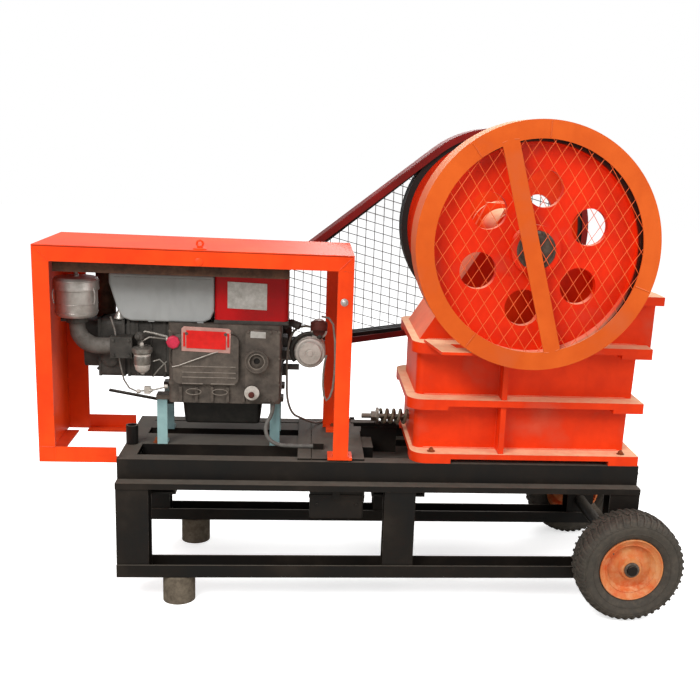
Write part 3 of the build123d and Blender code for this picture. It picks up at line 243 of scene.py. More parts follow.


# Paints: base, deep, dust-and-sheen and bare tones, roughness, shares of dust-and-sheen and wear, clear
# coat, edge band
PAINTS = {
    # Orange alkyd enamel sprayed over fabricated steel: saturated, half gloss, dust and a painted sky sheen
    # on its ledges
    "orange_enamel": ("EA3C0A", "D02E06", "F2CFA4", "6B4636", 0.42, 1.0, 0.6),
    # A yellower coat of it on the guard collar, gone flat
    "collar_enamel": ("D25A19", "C24C10", "F4BC92", "6B4636", 0.46, 0.8, 0.5),
    # A redder coat on the turned wheels, with painted shade outside this radius where the rim turns away
    # behind the guard ring
    "wheel_enamel": ("EA2E06", "CE2204", "FAAE8C", "6B4636", 0.42, 0.95, 0.4, 0.0, (287.5, "2E140E")),
    # The driven pulley: the same coat, its edge blackened by the belts
    "pulley_enamel": ("E03A0A", "C42A04", "E89A78", "6B4636", 0.42, 0.3, 0.4, 0.0, (289.0, "211D1B")),
    # Paint that sits thick on the guard wires
    "wire_paint": ("EA6630", "D64E1E", "F0A078", "8A4A30", 0.45, 0.4, 0.3),
    # The same enamel fresher on the cage
    "cage_enamel": ("F44A12", "E03A0C", "F09A74", "6B4636", 0.4, 0.08, 0.5),
    # Dark red primer inside the belt guard
    "guard_primer": ("7C1410", "540F0B", "94463A", "4E1812", 0.5, 0.2, 0.2),
    # Black bitumen paint on the skid and the lower frame: slightly brown, dust and a painted sky sheen along
    # every ledge
    "black_paint": ("151413", "201A15", "625B52", "4A3A2E", 0.4, 0.9, 0.8),
    # Brushed-on silver grey tank enamel
    "tank_enamel": ("989997", "80817E", "A59F96", "3F3B36", 0.33, 0.35, 0.4, 0.1),
    # Deep red stove enamel on the water hopper
    "hopper_enamel": ("B40C10", "90080C", "9C5A52", "3F2420", 0.3, 0.3, 0.4, 0.1),
    # Pale blue bracket paint, scuffed and oily
    "bracket_paint": ("9DBFBC", "6F8D90", "7C8480", "4A4A46", 0.45, 0.4, 0.8),
}

# Other surfaces: light, dark and stain tones, sizes of patches and grain and its depth in millimetres,
# roughness, metal, share of stain
SURFACES = {
    # Grey-brown engine castings with oil and soot baked on
    "engine_casting": ("62584F", "453E38", "2A2622", 60, 1.6, 0.5, 0.55, 0.0, 0.6),
    # The darker castings of the cylinder, its head and the brackets
    "dark_casting": ("48443F", "33302C", "1C1A18", 55, 1.8, 0.5, 0.55, 0.0, 0.5),
    # Sand-cast intake elbow, paler than the rest
    "elbow_casting": ("66615B", "4E4943", "302B26", 40, 1.6, 0.4, 0.6, 0.0, 0.5),
    # Raised ribs of the casting rubbed nearly bare
    "worn_casting": ("857B70", "6A6158", "4A423A", 20, 1.0, 0.2, 0.6, 0.0, 0.5),
    # Exhaust steel burnt to brown scale
    "burnt_steel": ("5E4232", "3E2C22", "2A1C16", 34, 1.4, 0.3, 0.75, 0.0, 0.5),
    # Oily black pressed sheet of the sump
    "sump_sheet": ("211F1C", "161513", "3A352E", 60, 1.2, 0.2, 0.4, 0.0, 0.4),
    # Die-cast aluminium gone dull
    "dull_alloy": ("C4BCB3", "A29A90", "5C564E", 50, 1.0, 0.15, 0.45, 0.25, 0.45),
    # Galvanised sheet of the air cleaner can
    "can_sheet": ("B4AEA8", "97918A", "6E665C", 42, 2.0, 0.15, 0.38, 0.6, 0.4),
    # Bright turned steel with a film of rust
    "turned_steel": ("8C857C", "6C5F52", "5B3B28", 36, 0.8, 0.1, 0.35, 0.85, 0.45),
    # Grease and dust caked on the shaft ends
    "greased_steel": ("584A40", "40342C", "2A211B", 22, 1.2, 0.3, 0.5, 0.3, 0.6),
    # Manganese steel jaws polished and stained by stone
    "jaw_steel": ("6A655F", "4A4540", "7A6450", 50, 2.5, 0.8, 0.5, 0.7, 0.5),
    # Rim paint gone chalky in patches, with the fresh orange showing between them
    "rim_enamel": ("CF864F", "CC5A28", "DDB084", 70, 3.0, 0.1, 0.5, 0.0, 0.65),
    # Tyre rubber greyed with dried mud
    "tyre_rubber": ("4A443D", "3D3933", "675D51", 60, 1.2, 0.3, 0.8, 0.0, 0.5),
    # Moulded rubber of belts and the intake pipe
    "belt_rubber": ("24211F", "191716", "4A423A", 60, 1.2, 0.2, 0.6, 0.0, 0.35),
    # Weathered round timber under the frame
    "stump_timber": ("74695A", "574D41", "3A322A", 22, 2.0, 1.2, 0.85, 0.0, 0.5),
    # Grey plastic sleeve over the wiring
    "cable_sleeve": ("77746E", "5E5B56", "3C3833", 30, 1.0, 0.1, 0.55, 0.0, 0.4),
    # Galvanised guard wire, dull grey with brown film
    "wire_steel": ("6E6A66", "4E4844", "54382A", 40, 1.0, 0.05, 0.45, 0.6, 0.45),
    # Oiled spring wire
    "spring_steel": ("7C7260", "584E3E", "3E3226", 24, 0.8, 0.1, 0.5, 0.25, 0.6),
    # Greasy and rusted small steel parts
    "greasy_steel": ("6E665C", "50463C", "3A2A20", 18, 0.9, 0.15, 0.5, 0.5, 0.6),
    # Paint-splashed rusty bolts on the base
    "rusty_bolt": ("A0522C", "7A3C20", "54301C", 8, 0.8, 0.15, 0.6, 0.2, 0.6),
    # Small steel pipes, once plated
    "pipe_steel": ("8A857E", "6C665E", "45382C", 16, 0.6, 0.05, 0.4, 0.6, 0.5),
    # Blank stamped aluminium plates
    "plate_alloy": ("C4C0BA", "A7A29B", "7C756C", 20, 0.8, 0.05, 0.35, 0.6, 0.35),
    # Clear plastic plate holder over grey paint
    "clear_frame": ("B98E84", "A5786E", "6E5A50", 26, 1.0, 0.05, 0.25, 0.0, 0.3),
    # Blank red plate
    "plate_paint": ("D8211C", "C01814", "7C3028", 40, 1.2, 0.05, 0.35, 0.0, 0.25),
    # Pink-red moulded oil cap
    "cap_red": ("C8304A", "A8243A", "6A2A30", 14, 0.8, 0.05, 0.4, 0.0, 0.35),
    # Regulator body in oxide red
    "regulator_red": ("5E2A22", "462019", "2A1814", 16, 1.0, 0.2, 0.5, 0.0, 0.5),
    # Black rubber jacket of the battery lead, dusty
    "lead_jacket": ("857E74", "6A645A", "4C463E", 26, 0.8, 0.05, 0.5, 0.0, 0.4),
}
COATS = {name: enamel(name, *row) for name, row in PAINTS.items()}
COATS |= {name: surface(name, *row) for name, row in SURFACES.items()}

# The material of every CAD node
FINISH = {node: coat for coat, nodes in {
    "black_paint": "trailer_rails trailer_legs cross_beams wheel_axle skid_frame engine_rails deck_plates"
                   " battery_box",
    "orange_enamel": "side_plates end_walls swing_jaw bearing_housings guard_stays",
    "cage_enamel": "cage_frame cage_sheets",
    "collar_enamel": "guard_ring",
    "wire_paint": "guard_mesh",
    "wheel_enamel": "flywheel",
    "pulley_enamel": "drive_pulley",
    "guard_primer": "belt_guard_band belt_guard_mesh",
    "tank_enamel": "fuel_tank",
    "hopper_enamel": "water_hopper",
    "bracket_paint": "engine_brackets",
    "engine_casting": "crankcase",
    "dark_casting": "cylinder_head engine_flywheel",
    "elbow_casting": "intake_elbow",
    "sump_sheet": "oil_sump",
    "dull_alloy": "fuel_filter alternator",
    "can_sheet": "air_cleaner",
    "turned_steel": "tension_rod tension_spring",
    "greased_steel": "eccentric_shaft",
    "jaw_steel": "jaw_plates toggle_plate",
    "belt_rubber": "drive_belts",
    "tyre_rubber": "near_tyre far_tyre",
    "rim_enamel": "near_rim far_rim",
    "stump_timber": "support_stumps",
    "cable_sleeve": "sleeve_cable",
    "lead_jacket": "lead_cable",
}.items() for node in nodes.split()}
for node_name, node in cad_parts.items():
    node.data.materials.clear()
    node.data.materials.append(COATS[FINISH[node_name]])

# The working mesh, in millimetres: it holds the shapes of one piece, until finish makes the piece
bm = bmesh.new()
ORIGIN = Matrix.Identity(4)


def box(low, high, turn=ORIGIN):
    centre = (Vector(low) + Vector(high)) / 2
    size = Vector(high) - Vector(low)
    bmesh.ops.create_cube(bm, size=1, matrix=Matrix.Translation(centre) @ turn @ Matrix.Diagonal((*size, 1)))


def frame_along(direction):
    """Two unit vectors square to a direction."""
    direction = Vector(direction).normalized()
    helper = Vector(UP) if abs(direction.z) < 0.9 else Vector((1, 0, 0))
    first = direction.cross(helper).normalized()
    return first, direction.cross(first)


def around(radius, start, count):
    """Points spread evenly on a circle, as offsets across and up, from a start in degrees."""
    for k in range(count):
        angle = math.radians(start) + 2 * math.pi * k / count
        yield radius * math.cos(angle), radius * math.sin(angle)


def ring(centre, first, second, radius, sides):
    """A round of vertices about a centre, in the plane of two unit vectors."""
    return [bm.verts.new(centre + (first * u + second * v) * radius) for u, v in around(1, 0, sides)]


def join(lower, upper, closed=True):
    """Faces between two rows of as many vertices."""
    for k in range(len(lower) if closed else len(lower) - 1):
        j = (k + 1) % len(lower)
        bm.faces.new((lower[k], lower[j], upper[j], upper[k]))


def lathe(profile, centre, direction, sides):
    """Turns (radius, distance) pairs about a line through centre, closed where the radius is zero."""
    direction = Vector(direction).normalized()
    first, second = frame_along(direction)
    rings = []
    for radius, along in profile:
        middle = Vector(centre) + direction * along
        rings.append(ring(middle, first, second, radius, sides) if radius else [bm.verts.new(middle)])
    for lower, upper in zip(rings, rings[1:]):
        for k in range(sides):
            loop = [row[n % len(row)] for row, n in ((lower, k), (lower, k + 1), (upper, k + 1), (upper, k))]
            unique = list(dict.fromkeys(loop))
            if len(unique) > 2:
                bm.faces.new(unique)


def tube(path, radius, sides=8, closed=False):
    """A round bar along a list of points; radius is a number or one value for each point."""
    path = [Vector(p) for p in path]
    radii = radius if isinstance(radius, list) else [radius] * len(path)
    count = len(path)
    rings = []
    first = None
    for k, point in enumerate(path):
        before = path[(k - 1) % count] if closed else path[max(k - 1, 0)]
        after = path[(k + 1) % count] if closed else path[min(k + 1, count - 1)]
        direction = (after - before).normalized()
        if first is None:
            first = frame_along(direction)[0]
        first = (first - direction * first.dot(direction)).normalized()
        rings.append(ring(point, first, direction.cross(first), radii[k], sides))
    for lower, upper in zip(rings, rings[1:]):
        join(lower, upper)
    if closed:
        join(rings[-1], rings[0])
    else:
        bm.faces.new(rings[0][::-1])
        bm.faces.new(rings[-1])


def plate(y, outline, thickness):
    """A flat plate that faces the camera's side, from its corners (x, z)."""
    back = [bm.verts.new((x, y, z)) for x, z in outline]
    front = [bm.verts.new((x, y - thickness, z)) for x, z in outline]
    bm.faces.new(back[::-1])
    bm.faces.new(front)
    join(back, front)


WASHER = 1.6


def bolt(seat, direction, across, height, washer=0.0, stub=0.0):
    """A hexagon with a chamfered top, on a washer this thick, with a stub this long through it."""
    radius = across / math.sqrt(3)
    top = washer + height
    if washer:
        lathe([(0, 0), (across * 0.86, 0), (across * 0.86, washer), (0, washer)], seat, direction, 20)
    head = [(0, washer), (radius, washer), (radius, washer + height * 0.82), (radius * 0.86, top), (0, top)]
    lathe(head, seat, direction, 6)
    if stub:
        end = [(radius * 0.5, washer + height * 0.8), (radius * 0.5, top + stub * 0.7)]
        lathe([*end, (radius * 0.42, top + stub), (0, top + stub)], seat, direction, 12)


def bead(path, radius, ripple=4.0):
    """A weld bead: a low rope with ripples along a list of points."""
    points = []
    radii = []
    for start, end in zip(path, path[1:]):
        start, end = Vector(start), Vector(end)
        steps = max(2, int((end - start).length / ripple))
        for k in range(steps):
            points.append(start.lerp(end, k / steps))
            radii.append(radius * (1.0 if len(points) % 2 else 0.8) * random.uniform(0.9, 1.1))
    points.append(Vector(path[-1]))
    radii.append(radius * 0.7)
    tube(points, radii, 6)


def arc(centre, radius, start, end, steps, plane="XZ"):
    """Points on part of a circle, between two angles in degrees."""
    points = []
    for k in range(steps + 1):
        angle = math.radians(start + (end - start) * k / steps)
        u, v = radius * math.cos(angle), radius * math.sin(angle)
        shift = {"XZ": (u, 0, v), "XY": (u, v, 0)}[plane]
        points.append(Vector(centre) + Vector(shift))
    return points


def hoop(centre, radius, thickness, last, steps, plane="XZ", sides=6):
    """A ring of round bar, closed from this last angle back to the first."""
    tube(arc(centre, radius, 0, last, steps, plane), thickness, sides, closed=True)


def finish(name, coat, body="machine", replaces=(), edges=0.0, smooth=35):
    """Turns the working mesh into a piece of the model, in metres, and empties it."""
    bmesh.ops.recalc_face_normals(bm, faces=bm.faces)
    bmesh.ops.scale(bm, vec=(MM, MM, MM), verts=bm.verts)
    mesh = bpy.data.meshes.new(name)
    bm.to_mesh(mesh)
    bm.clear()
    mesh.materials.append(COATS[coat])
    mesh.shade_smooth()
    mesh.set_sharp_from_angle(angle=math.radians(smooth))
    piece = bpy.data.objects.new(name, mesh)
    bpy.context.scene.collection.objects.link(piece)
    if edges:
        soft = piece.modifiers.new("edges", "BEVEL")
        soft.width = edges * MM
        soft.segments = 2
        soft.limit_method = "ANGLE"
    if replaces:
        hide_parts(*replaces)
    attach(piece, body)


# Crimped wire: a round wire that waves over and under the wires that cross it
def crimped(start, end, wave, step, parity, thickness):
    start, end = Vector(start), Vector(end)
    length = (end - start).length
    count = max(2, int(length / (step / 2)))
    points = []
    for k in range(count + 1):
        swing = wave * math.cos(math.pi * (k * length / count) / step + parity * math.pi)
        points.append(start.lerp(end, k / count) + Vector((0, swing, 0)))
    tube(points, thickness / 2, 5)


def clip_to_polygon(point, direction, polygon):
    """Where an endless line enters and leaves a convex outline, as distances along it."""
    enter, leave = -1e9, 1e9
    for k, a in enumerate(polygon):
        b = polygon[(k + 1) % len(polygon)]
        normal = (a[1] - b[1], b[0] - a[0])
        rate = normal[0] * direction[0] + normal[1] * direction[1]
        gap = normal[0] * (a[0] - point[0]) + normal[1] * (a[1] - point[1])
        if abs(rate) < 1e-9:
            if gap > 0:
                return 0.0, 0.0
            continue
        t = gap / rate
        if rate > 0:
            enter = max(enter, t)
        else:
            leave = min(leave, t)
    return enter, leave


# Wire panel in front of the flywheel: tall diamonds in painted wire
NEAR_PITCH = 34.0
NEAR_LEAN = math.radians(33)
WIRE_REACH = RING_OPENING + 13
for family, lean in enumerate((-NEAR_LEAN, NEAR_LEAN)):
    along = Vector((math.sin(lean), 0, math.cos(lean)))
    across = Vector((along.z, 0, -along.x))
    for k in range(-8, 9):
        offset = k * NEAR_PITCH
        half = math.sqrt(WIRE_REACH ** 2 - offset ** 2)
        centre = Vector((RING_X, RING_FRONT + 6.2, RING_Z)) + across * offset
        step = NEAR_PITCH / math.sin(2 * NEAR_LEAN)
        crimped(centre - along * half, centre + along * half, 0.9, step, (k + family) % 2, 1.8)
finish("guard_wires", "wire_paint", replaces=["guard_mesh"])


def belt_outline(grow):
    """The round-ended outline of the belt guard, this much outside its inner face."""
    big, small = BAND_RADIUS + grow, SMALL_RADIUS + grow
    axis_angle = math.atan2(SHAFT_Z - DRIVE_Z, SHAFT_X - DRIVE_X)
    spread = math.acos((big - small) / math.hypot(SHAFT_X - DRIVE_X, SHAFT_Z - DRIVE_Z))
    turn = math.pi - spread
    points = []
    for x, z, radius, start, sweep, steps in (
            (SHAFT_X, SHAFT_Z, big, axis_angle - turn, 2 * turn, 56),
            (DRIVE_X, DRIVE_Z, small, axis_angle + turn, 2 * spread, 20)):
        for k in range(steps + 1):
            angle = start + sweep * k / steps
            points.append((x + radius * math.cos(angle), z + radius * math.sin(angle)))
    return points


# Turned-in lip along the near edge of the belt guard
LIP_FRONT = 276.5
section = [
    (2.9, LIP_FRONT + 9.5), (2.9, LIP_FRONT), (-17.0, LIP_FRONT),
    (-17.0, LIP_FRONT + 2.5), (0.6, LIP_FRONT + 2.5), (0.6, LIP_FRONT + 9.5),
]
loops = [[bm.verts.new((x, y, z)) for x, z in belt_outline(grow)] for grow, y in section]
for lower, upper in zip(loops, loops[1:] + loops[:1]):
    join(lower, upper)
finish("belt_guard_lip", "guard_primer")

# Woven grey wire on the far face of the belt guard
FAR_PITCH = 30.0
SHORTEST_WIRE = 12.0
outline = belt_outline(-2)
for family, (slope, pitch) in enumerate(((90.0, FAR_PITCH), (-14.0, 29.0))):
    direction = (math.cos(math.radians(slope)), math.sin(math.radians(slope)))
    normal = (-direction[1], direction[0])
    for k in range(-30, 31):
        start = (SHAFT_X - 300 + normal[0] * k * pitch, SHAFT_Z - 150 + normal[1] * k * pitch)
        cut = clip_to_polygon(start, direction, outline)
        if cut[1] - cut[0] < SHORTEST_WIRE:
            continue
        ends = [(start[0] + direction[0] * t, BAND_BACK - 2.4, start[1] + direction[1] * t) for t in cut]
        crimped(*ends, 0.7, FAR_PITCH, (k + family) % 2, 2.6)
finish("belt_guard_wires", "wire_steel", replaces=["belt_guard_mesh"])

# Coil spring round the tension rod
TURNS = 4
TURN_STEPS = 28
WIRE_INSET = 5.5
coil_radius = (spring_high[1] - spring_low[1]) / 2 - WIRE_INSET
coil = []
for k in range(TURNS * TURN_STEPS + 1):
    share = k / (TURNS * TURN_STEPS)
    angle = 2 * math.pi * TURNS * share
    x = spring_low[0] + WIRE_INSET + (spring_high[0] - spring_low[0] - 2 * WIRE_INSET) * share
    coil.append((x, coil_radius * math.sin(angle), SPRING_Z + coil_radius * math.cos(angle)))
tube(coil, 5.4, 10)
finish("coil_spring", "spring_steel", replaces=["tension_spring"])

# Dark chute sheet that stands in the skid behind the spring, with its top folded back
CHUTE_FRONT, CHUTE_BACK = 58, 62
CHUTE_LEFT, CHUTE_RIGHT = -46, 104
CHUTE_FOLD = 480
for left, low, high in ((-12, 377, 462), (-36, 462, 476), (CHUTE_LEFT, 476, CHUTE_FOLD)):
    box((left, CHUTE_FRONT, low), (CHUTE_RIGHT, CHUTE_BACK, high))
box((CHUTE_LEFT, CHUTE_FRONT - 30, CHUTE_FOLD), (30, CHUTE_BACK, CHUTE_FOLD + 4))
finish("chute_sheet", "black_paint", edges=0.8)

SHOULDER_BLOCKS = 46
CENTRE_BLOCKS = 56


# Knobby barrow tyres: a carcass with beads, sidewall rings, slanted shoulder blocks and a row in the middle
def tyre(side, wheel):
    centre = Vector((WHEEL_X, side * WHEEL_Y, TYRE_RADIUS))
    half = [
        (96.6, 40.0), (104, 47.0), (112, 52.0), (121, 55.0), (131, 56.6), (134, 57.2),
        (137, 56.6), (146, 55.0), (152, 51.0), (156.5, 44.0), (158.6, 32.0), (159.4, 16.0),
    ]
    profile = [(r, -y) for r, y in half] + [(159.6, 0.0)] + half[::-1] + [(96.6, -40.0)]
    lathe(profile, centre, (0, 1, 0), 72)
    for ring_at, ring_y in ((118.0, 54.2), (142.0, 56.0)):
        for face in (-1, 1):
            hoop((WHEEL_X, side * WHEEL_Y + face * ring_y, TYRE_RADIUS), ring_at, 1.3, 350, 47)
    # Top and foot of a block over the shoulder: radius, distance from the middle, shift round the wheel
    top = [(164.0, 6, -2.0), (163.4, 30, 3.0), (160.0, 46, 6.0), (152.6, 54.4, 8.0), (145.0, 56.4, 9.0)]
    foot = [(156.0, 6, -2.0), (155.0, 30, 3.0), (152.0, 42, 6.0), (147.0, 50.0, 8.0), (141.0, 54.0, 9.0)]
    for k in range(SHOULDER_BLOCKS):
        for face in (-1, 1):
            angle = 2 * math.pi * (k + (0.5 if face > 0 else 0.0)) / SHOULDER_BLOCKS
            radial = Vector((math.cos(angle), 0, math.sin(angle)))
            tangent = Vector((-math.sin(angle), 0, math.cos(angle)))
            rows = []
            for high, low in zip(top, foot):
                row = []
                for (radius, out, shift), spread in ((low, 4.1), (high, 2.9), (high, -2.9), (low, -4.1)):
                    corner = radial * radius + Vector((0, face * out, 0)) + tangent * (shift + spread)
                    row.append(bm.verts.new(centre + corner))
                rows.append(row)
            for lower, upper in zip(rows, rows[1:]):
                join(lower, upper, closed=False)
            bm.faces.new(rows[0])
            bm.faces.new(rows[-1])
    for k in range(CENTRE_BLOCKS):
        angle = 2 * math.pi * k / CENTRE_BLOCKS
        lean = Matrix.Rotation(-angle, 4, "Y") @ Matrix.Rotation(math.radians(24 if k % 2 else -24), 4, "X")
        spot = centre + Vector((math.cos(angle), 0, math.sin(angle))) * 160.0
        half_block = Vector((3.2, 9, 4.2))
        box(spot - half_block, spot + half_block, lean)
    name = wheel + "_tyre"
    finish(name + "_tread", "tyre_rubber", wheel + "_wheel", [name], smooth=40)


tyre(-1, "near")
tyre(1, "far")

# Rolled rim lips, hub caps and valve stems
for side, body in ((-1, "near_wheel"), (1, "far_wheel")):
    hoop((WHEEL_X, side * (WHEEL_Y + 44), TYRE_RADIUS), 94.0, 2.4, 353, 63, sides=8)
    hoop((WHEEL_X, side * (WHEEL_Y + 34.5), TYRE_RADIUS), 76.0, 1.6, 352, 47)
    finish("rim_lip_" + body, "rim_enamel", body)
    hub = (WHEEL_X, side * WHEEL_Y, TYRE_RADIUS)
    lathe([(16.6, 42), (23, 42.0), (23, 46), (20, 49), (16.6, 49)], hub, (0, side, 0), 28)
    valve = Vector((WHEEL_X - 62, side * (WHEEL_Y + 19), TYRE_RADIUS + 52))
    tube([valve, valve + Vector((2, side * 9, -2)), valve + Vector((5, side * 17, -5))], [3.4, 3.0, 2.6], 10)
    finish("hub_cap_" + body, "greasy_steel", body)

# Weld seams across the guard ring and along the bar ends
for angle in (89, 127, 341, 236):
    along = Vector((math.cos(math.radians(angle)), 0, math.sin(math.radians(angle))))
    start = Vector((RING_X, RING_FRONT, RING_Z)) + along * (RING_OPENING + 3)
    bead([start, start + along * (RING_RADIUS - RING_OPENING - 7)], 2.2)
bar_centre = Vector((RING_X - 22, RING_FRONT + 0.6, RING_Z - 3))
bar_lean = Matrix.Rotation(math.radians(-15.6), 4, "Y")
for end in (-1, 1):
    for edge in (-23, 23):
        start = bar_centre + bar_lean @ Vector((edge, 0, (RING_OPENING + 2) * end))
        stop = bar_centre + bar_lean @ Vector((edge * 0.4, 0, (RING_OPENING + 5) * end))
        bead([start, stop], 1.6)
finish("ring_welds", "collar_enamel")

# Fillet welds where ribs and ledges meet the side walls
for side in (-1, 1):
    y = side * (WALL_Y + 0.6)
    for low, high in ((FLOOR_Z + 3, FLOOR_Z + 144), (FLOOR_Z + 170, FLOOR_Z + 312)):
        for x in (SHAFT_X - 35, SHAFT_X - 17):
            bead([(x, y, low), (x, y, high)], 2.8)
    for z, left, right in ((FLOOR_Z + 1, 165, 770), (FLOOR_Z + 168, 160, 780), (FLOOR_Z + 336, 160, 800)):
        bead([(left, y, z), (right, y, z)], 2.8)
finish("wall_welds", "orange_enamel")

# Painted shade: a dark line along the fold of the roof sheet at its front edge
ROOF_EDGE = 1042
box((cage_low[0] + 2, CAGE_Y - 0.5, ROOF_EDGE - 0.8), (cage_high[0] - 2, CAGE_Y + 0.4, ROOF_EDGE + 0.8))
finish("roof_fold_shade", "guard_primer")

# Painted shade: a dark rust-brown strip hanging behind the near rail, under the roof sheet, standing for the
# roof's shadow over the tank top
SHADE_STRIP_LEFT, SHADE_STRIP_RIGHT = cage_low[0] + 44, -246
SHADE_STRIP_Y, SHADE_STRIP_Z = -185, 967
box((SHADE_STRIP_LEFT, SHADE_STRIP_Y - 4, SHADE_STRIP_Z), (SHADE_STRIP_RIGHT, SHADE_STRIP_Y, ROOF_EDGE - 1))
box((SHADE_STRIP_LEFT, SHADE_STRIP_Y, SHADE_STRIP_Z), (SHADE_STRIP_RIGHT, SHADE_STRIP_Y + 25, SHADE_STRIP_Z + 4))
finish("roof_shade_strip", "burnt_steel")

# Mitre seams at the cage corners
for x, toward in ((cage_low[0], 1), (cage_high[0], -1)):
    top = (x + toward * 3, CAGE_Y - 0.2, ROOF_EDGE)
    bead([top, (x + toward * 43, CAGE_Y - 0.2, ROOF_EDGE - 40)], 1.3)
bead([(cage_low[0] + 4, CAGE_Y - 0.2, 470), (cage_low[0] + 44, CAGE_Y - 0.2, 468)], 1.3)
finish("cage_seams", "cage_enamel")

# Lifting eye on the front edge of the roof, and the stud below it
EYE = (-495, CAGE_Y + 24)
lathe([(0, -1), (19, -1), (19, 3), (15, 4.5), (0, 4.5)], (*EYE, 1045), UP, 28)
bolt((*EYE, 1049), UP, 15, 7)
tube(arc((*EYE, 1061), 8.5, -60, 240, 20), 3.0)
lathe([(0, 0), (11, 0), (12, 1.6), (9, 3.2), (0, 3.6)], (-496, CAGE_Y, 1012), NEAR, 22)
finish("roof_eye", "cage_enamel", edges=0.6)

# Dome-headed bolt on the near right post
dome = [(0, 0), (11, 0), (11, 1.4), (8.5, 2.2), (8.5, 4.0), (5.5, 7.2), (0, 8.4)]
lathe(dome, (-89, CAGE_Y, 912), NEAR, 24)
finish("post_bolt", "plate_alloy")

# Bolts through the right-hand feet of the cage
for y in (-214, 103):
    for x in (-103, -71):
        bolt((x, y, 443.9), UP, 13, 8, WASHER, 5)
finish("foot_bolts", "rusty_bolt")

# Bolts through the base flange of the crusher
for side in (-1, 1):
    for x in (186, 772):
        bolt((x, side * (LEDGE_Y - 26), FLOOR_Z), UP, 14, 7, WASHER, 4)
finish("base_bolts", "rusty_bolt")

# Bolts that hold the blue brackets on the skid
for x, y in ((-641, -62), (-290, -62), (-641, 98), (-290, 98)):
    bolt((x, y, SKID_TOP), UP, 12, 7, WASHER, 8)
finish("bracket_bolts", "rusty_bolt")

# Inner cheek of the feed mouth, seen through a hole of the flywheel
box((519, -236, 884), (662, -230, 1048))
finish("feed_cheek", "orange_enamel", edges=1.0)

# Loose loop of cable between the regulator and the alternator
loop = [
    (-150, 838), (-128, 834), (-114, 816), (-107, 765), (-105, 710), (-106, 660), (-110, 615), (-118, 588),
    (-128, 577), (-136, 592), (-140, 625), (-140, 660), (-137, 695), (-132, 720),
]
tube([(x, -50 if k < 2 else -58, z) for k, (x, z) in enumerate(loop)], 3.2)
finish("cable_loop", "lead_jacket")

# Bolt circles of the bearing housings
for side in (-1, 1):
    for u, v in around(89, 30, 6):
        bolt((SHAFT_X + u, side * (WALL_Y + 18.4), SHAFT_Z + v), (0, side, 0), 11, 6)
finish("housing_bolts", "orange_enamel")

# Locking rings and keys on the hubs of the flywheel and pulley
HUB_FACE = 375
for name, side in (("flywheel", -1), ("pulley", 1)):
    hub = (SHAFT_X, side * HUB_FACE, SHAFT_Z)
    lathe([(45.4, 0), (54, 0), (54, 2), (52, 3), (45.4, 3)], hub, (0, side, 0), 48)
    finish(name + "_hub_ring", "greased_steel", "rotor")
    near, far = sorted((side * (HUB_FACE + 0.6), side * (HUB_FACE + 3.6)))
    box((SHAFT_X - 7, near, SHAFT_Z + 36), (SHAFT_X + 7, far, SHAFT_Z + 52))
    finish(name + "_key", "turned_steel", "rotor", edges=0.8)

# Engine block, near side: cover bolts, the raised rim of a slot and the collar of the starting bore
BORE = (-338, COVER_Y, 712)
for x, z in (
        (-542, 789), (-430, 789), (-590, 640), (-590, 795), (-410, 795), (-300, 800),
        (-274, 800), (-274, 720), (-274, 640), (-300, 592), (-364, 592), (-364, 800)):
    bolt((x, COVER_Y, z), NEAR, 9, 5)
rim = []
for k, (u, v) in enumerate(around(8, 0, 24)):
    rim.append((-583 + u, COVER_Y + 13, 715 + v + (16 if k < 12 else -16)))
tube(rim, 1.6, 6, closed=True)
lathe([(22, -1), (22, 5), (12, 8), (9.5, 8), (9.5, -1)], BORE, NEAR, 36)
lathe([(34, 14), (36, 17), (34, 20), (30, 20), (30, 14)], BORE, NEAR, 36)
finish("block_ribs", "engine_casting")

# Plate holder with the red plate and its two clips, and the blank plates of the block and the hopper
plate(COVER_Y, [(-557, 736), (-416, 732), (-414, 800), (-420, 806), (-550, 810), (-557, 803)], 2.0)
finish("plate_frame", "clear_frame", edges=0.8)
plate(COVER_Y - 2, [(-543, 746), (-429, 743), (-429, 796), (-543, 799)], 1.6)
for x in (-549, -422):
    plate(COVER_Y - 2, [(x - 3, 750), (x + 3, 750), (x + 3, 792), (x - 3, 792)], 1.2)
finish("plate_red", "plate_paint", edges=0.5)
plate(COVER_Y, [(-358, 781), (-313, 780), (-313, 799), (-358, 800)], 1.0)
plate(hopper_low[1], [(-427, 862), (-312, 859), (-312, 938), (-427, 941)], 1.0)
finish("blank_plates", "plate_alloy", edges=0.4)

# Oil filler cap, drain cover with its knob, dipstick, and the ridges of the casting
DRAIN = (-351, COVER_Y - 15.5, 618)
lathe([(0, 0), (13, 0), (13, 10), (20, 12), (20, 20), (16, 23), (0, 24)], (-581, COVER_Y + 14, 762), NEAR, 8)
finish("oil_cap", "cap_red", edges=1.6)
lathe([(0, 0), (20, 0), (22, 3), (22, 6), (15, 8), (0, 8)], DRAIN, NEAR, 28)
lathe([(0, 8), (6, 8), (6, 20), (8, 21), (8, 25), (0, 26)], DRAIN, NEAR, 16)
dipstick = [(-584, 3, 688), (-566, 6, 693), (-466, 6, 733), (-452, 3, 736)]
tube([(x, COVER_Y - out, z) for x, out, z in dipstick], 1.3)
finish("block_fittings", "dull_alloy")
for z, left, right in (
        (690, -556, -400), (672, -556, -400), (657, -556, -400), (638, -556, -495), (638, -473, -403)):
    tube([(left, COVER_Y + 0.2, z), (right, COVER_Y + 0.2, z)], 2.2, 6)
for x in (-523, -446):
    tube([(x + 22 * u, COVER_Y + 0.4, 613 + 9 * v) for u, v in around(1, 0, 24)], 1.4, 6, closed=True)
for radius in (22.6, 32):
    hoop((BORE[0], COVER_Y - 15.6, BORE[2]), radius, 1.5, 352, 44)
finish("casting_ridges", "worn_casting")
lathe([(0, 26), (9, 26), (9, 31), (6, 34), (0, 34)], DRAIN, NEAR, 20)
finish("drain_knob", "regulator_red")
lathe([(0, 0.3), (9.6, 0.3), (9.6, 1.2), (0, 1.2)], BORE, NEAR, 6)
finish("bore_socket", "belt_rubber")

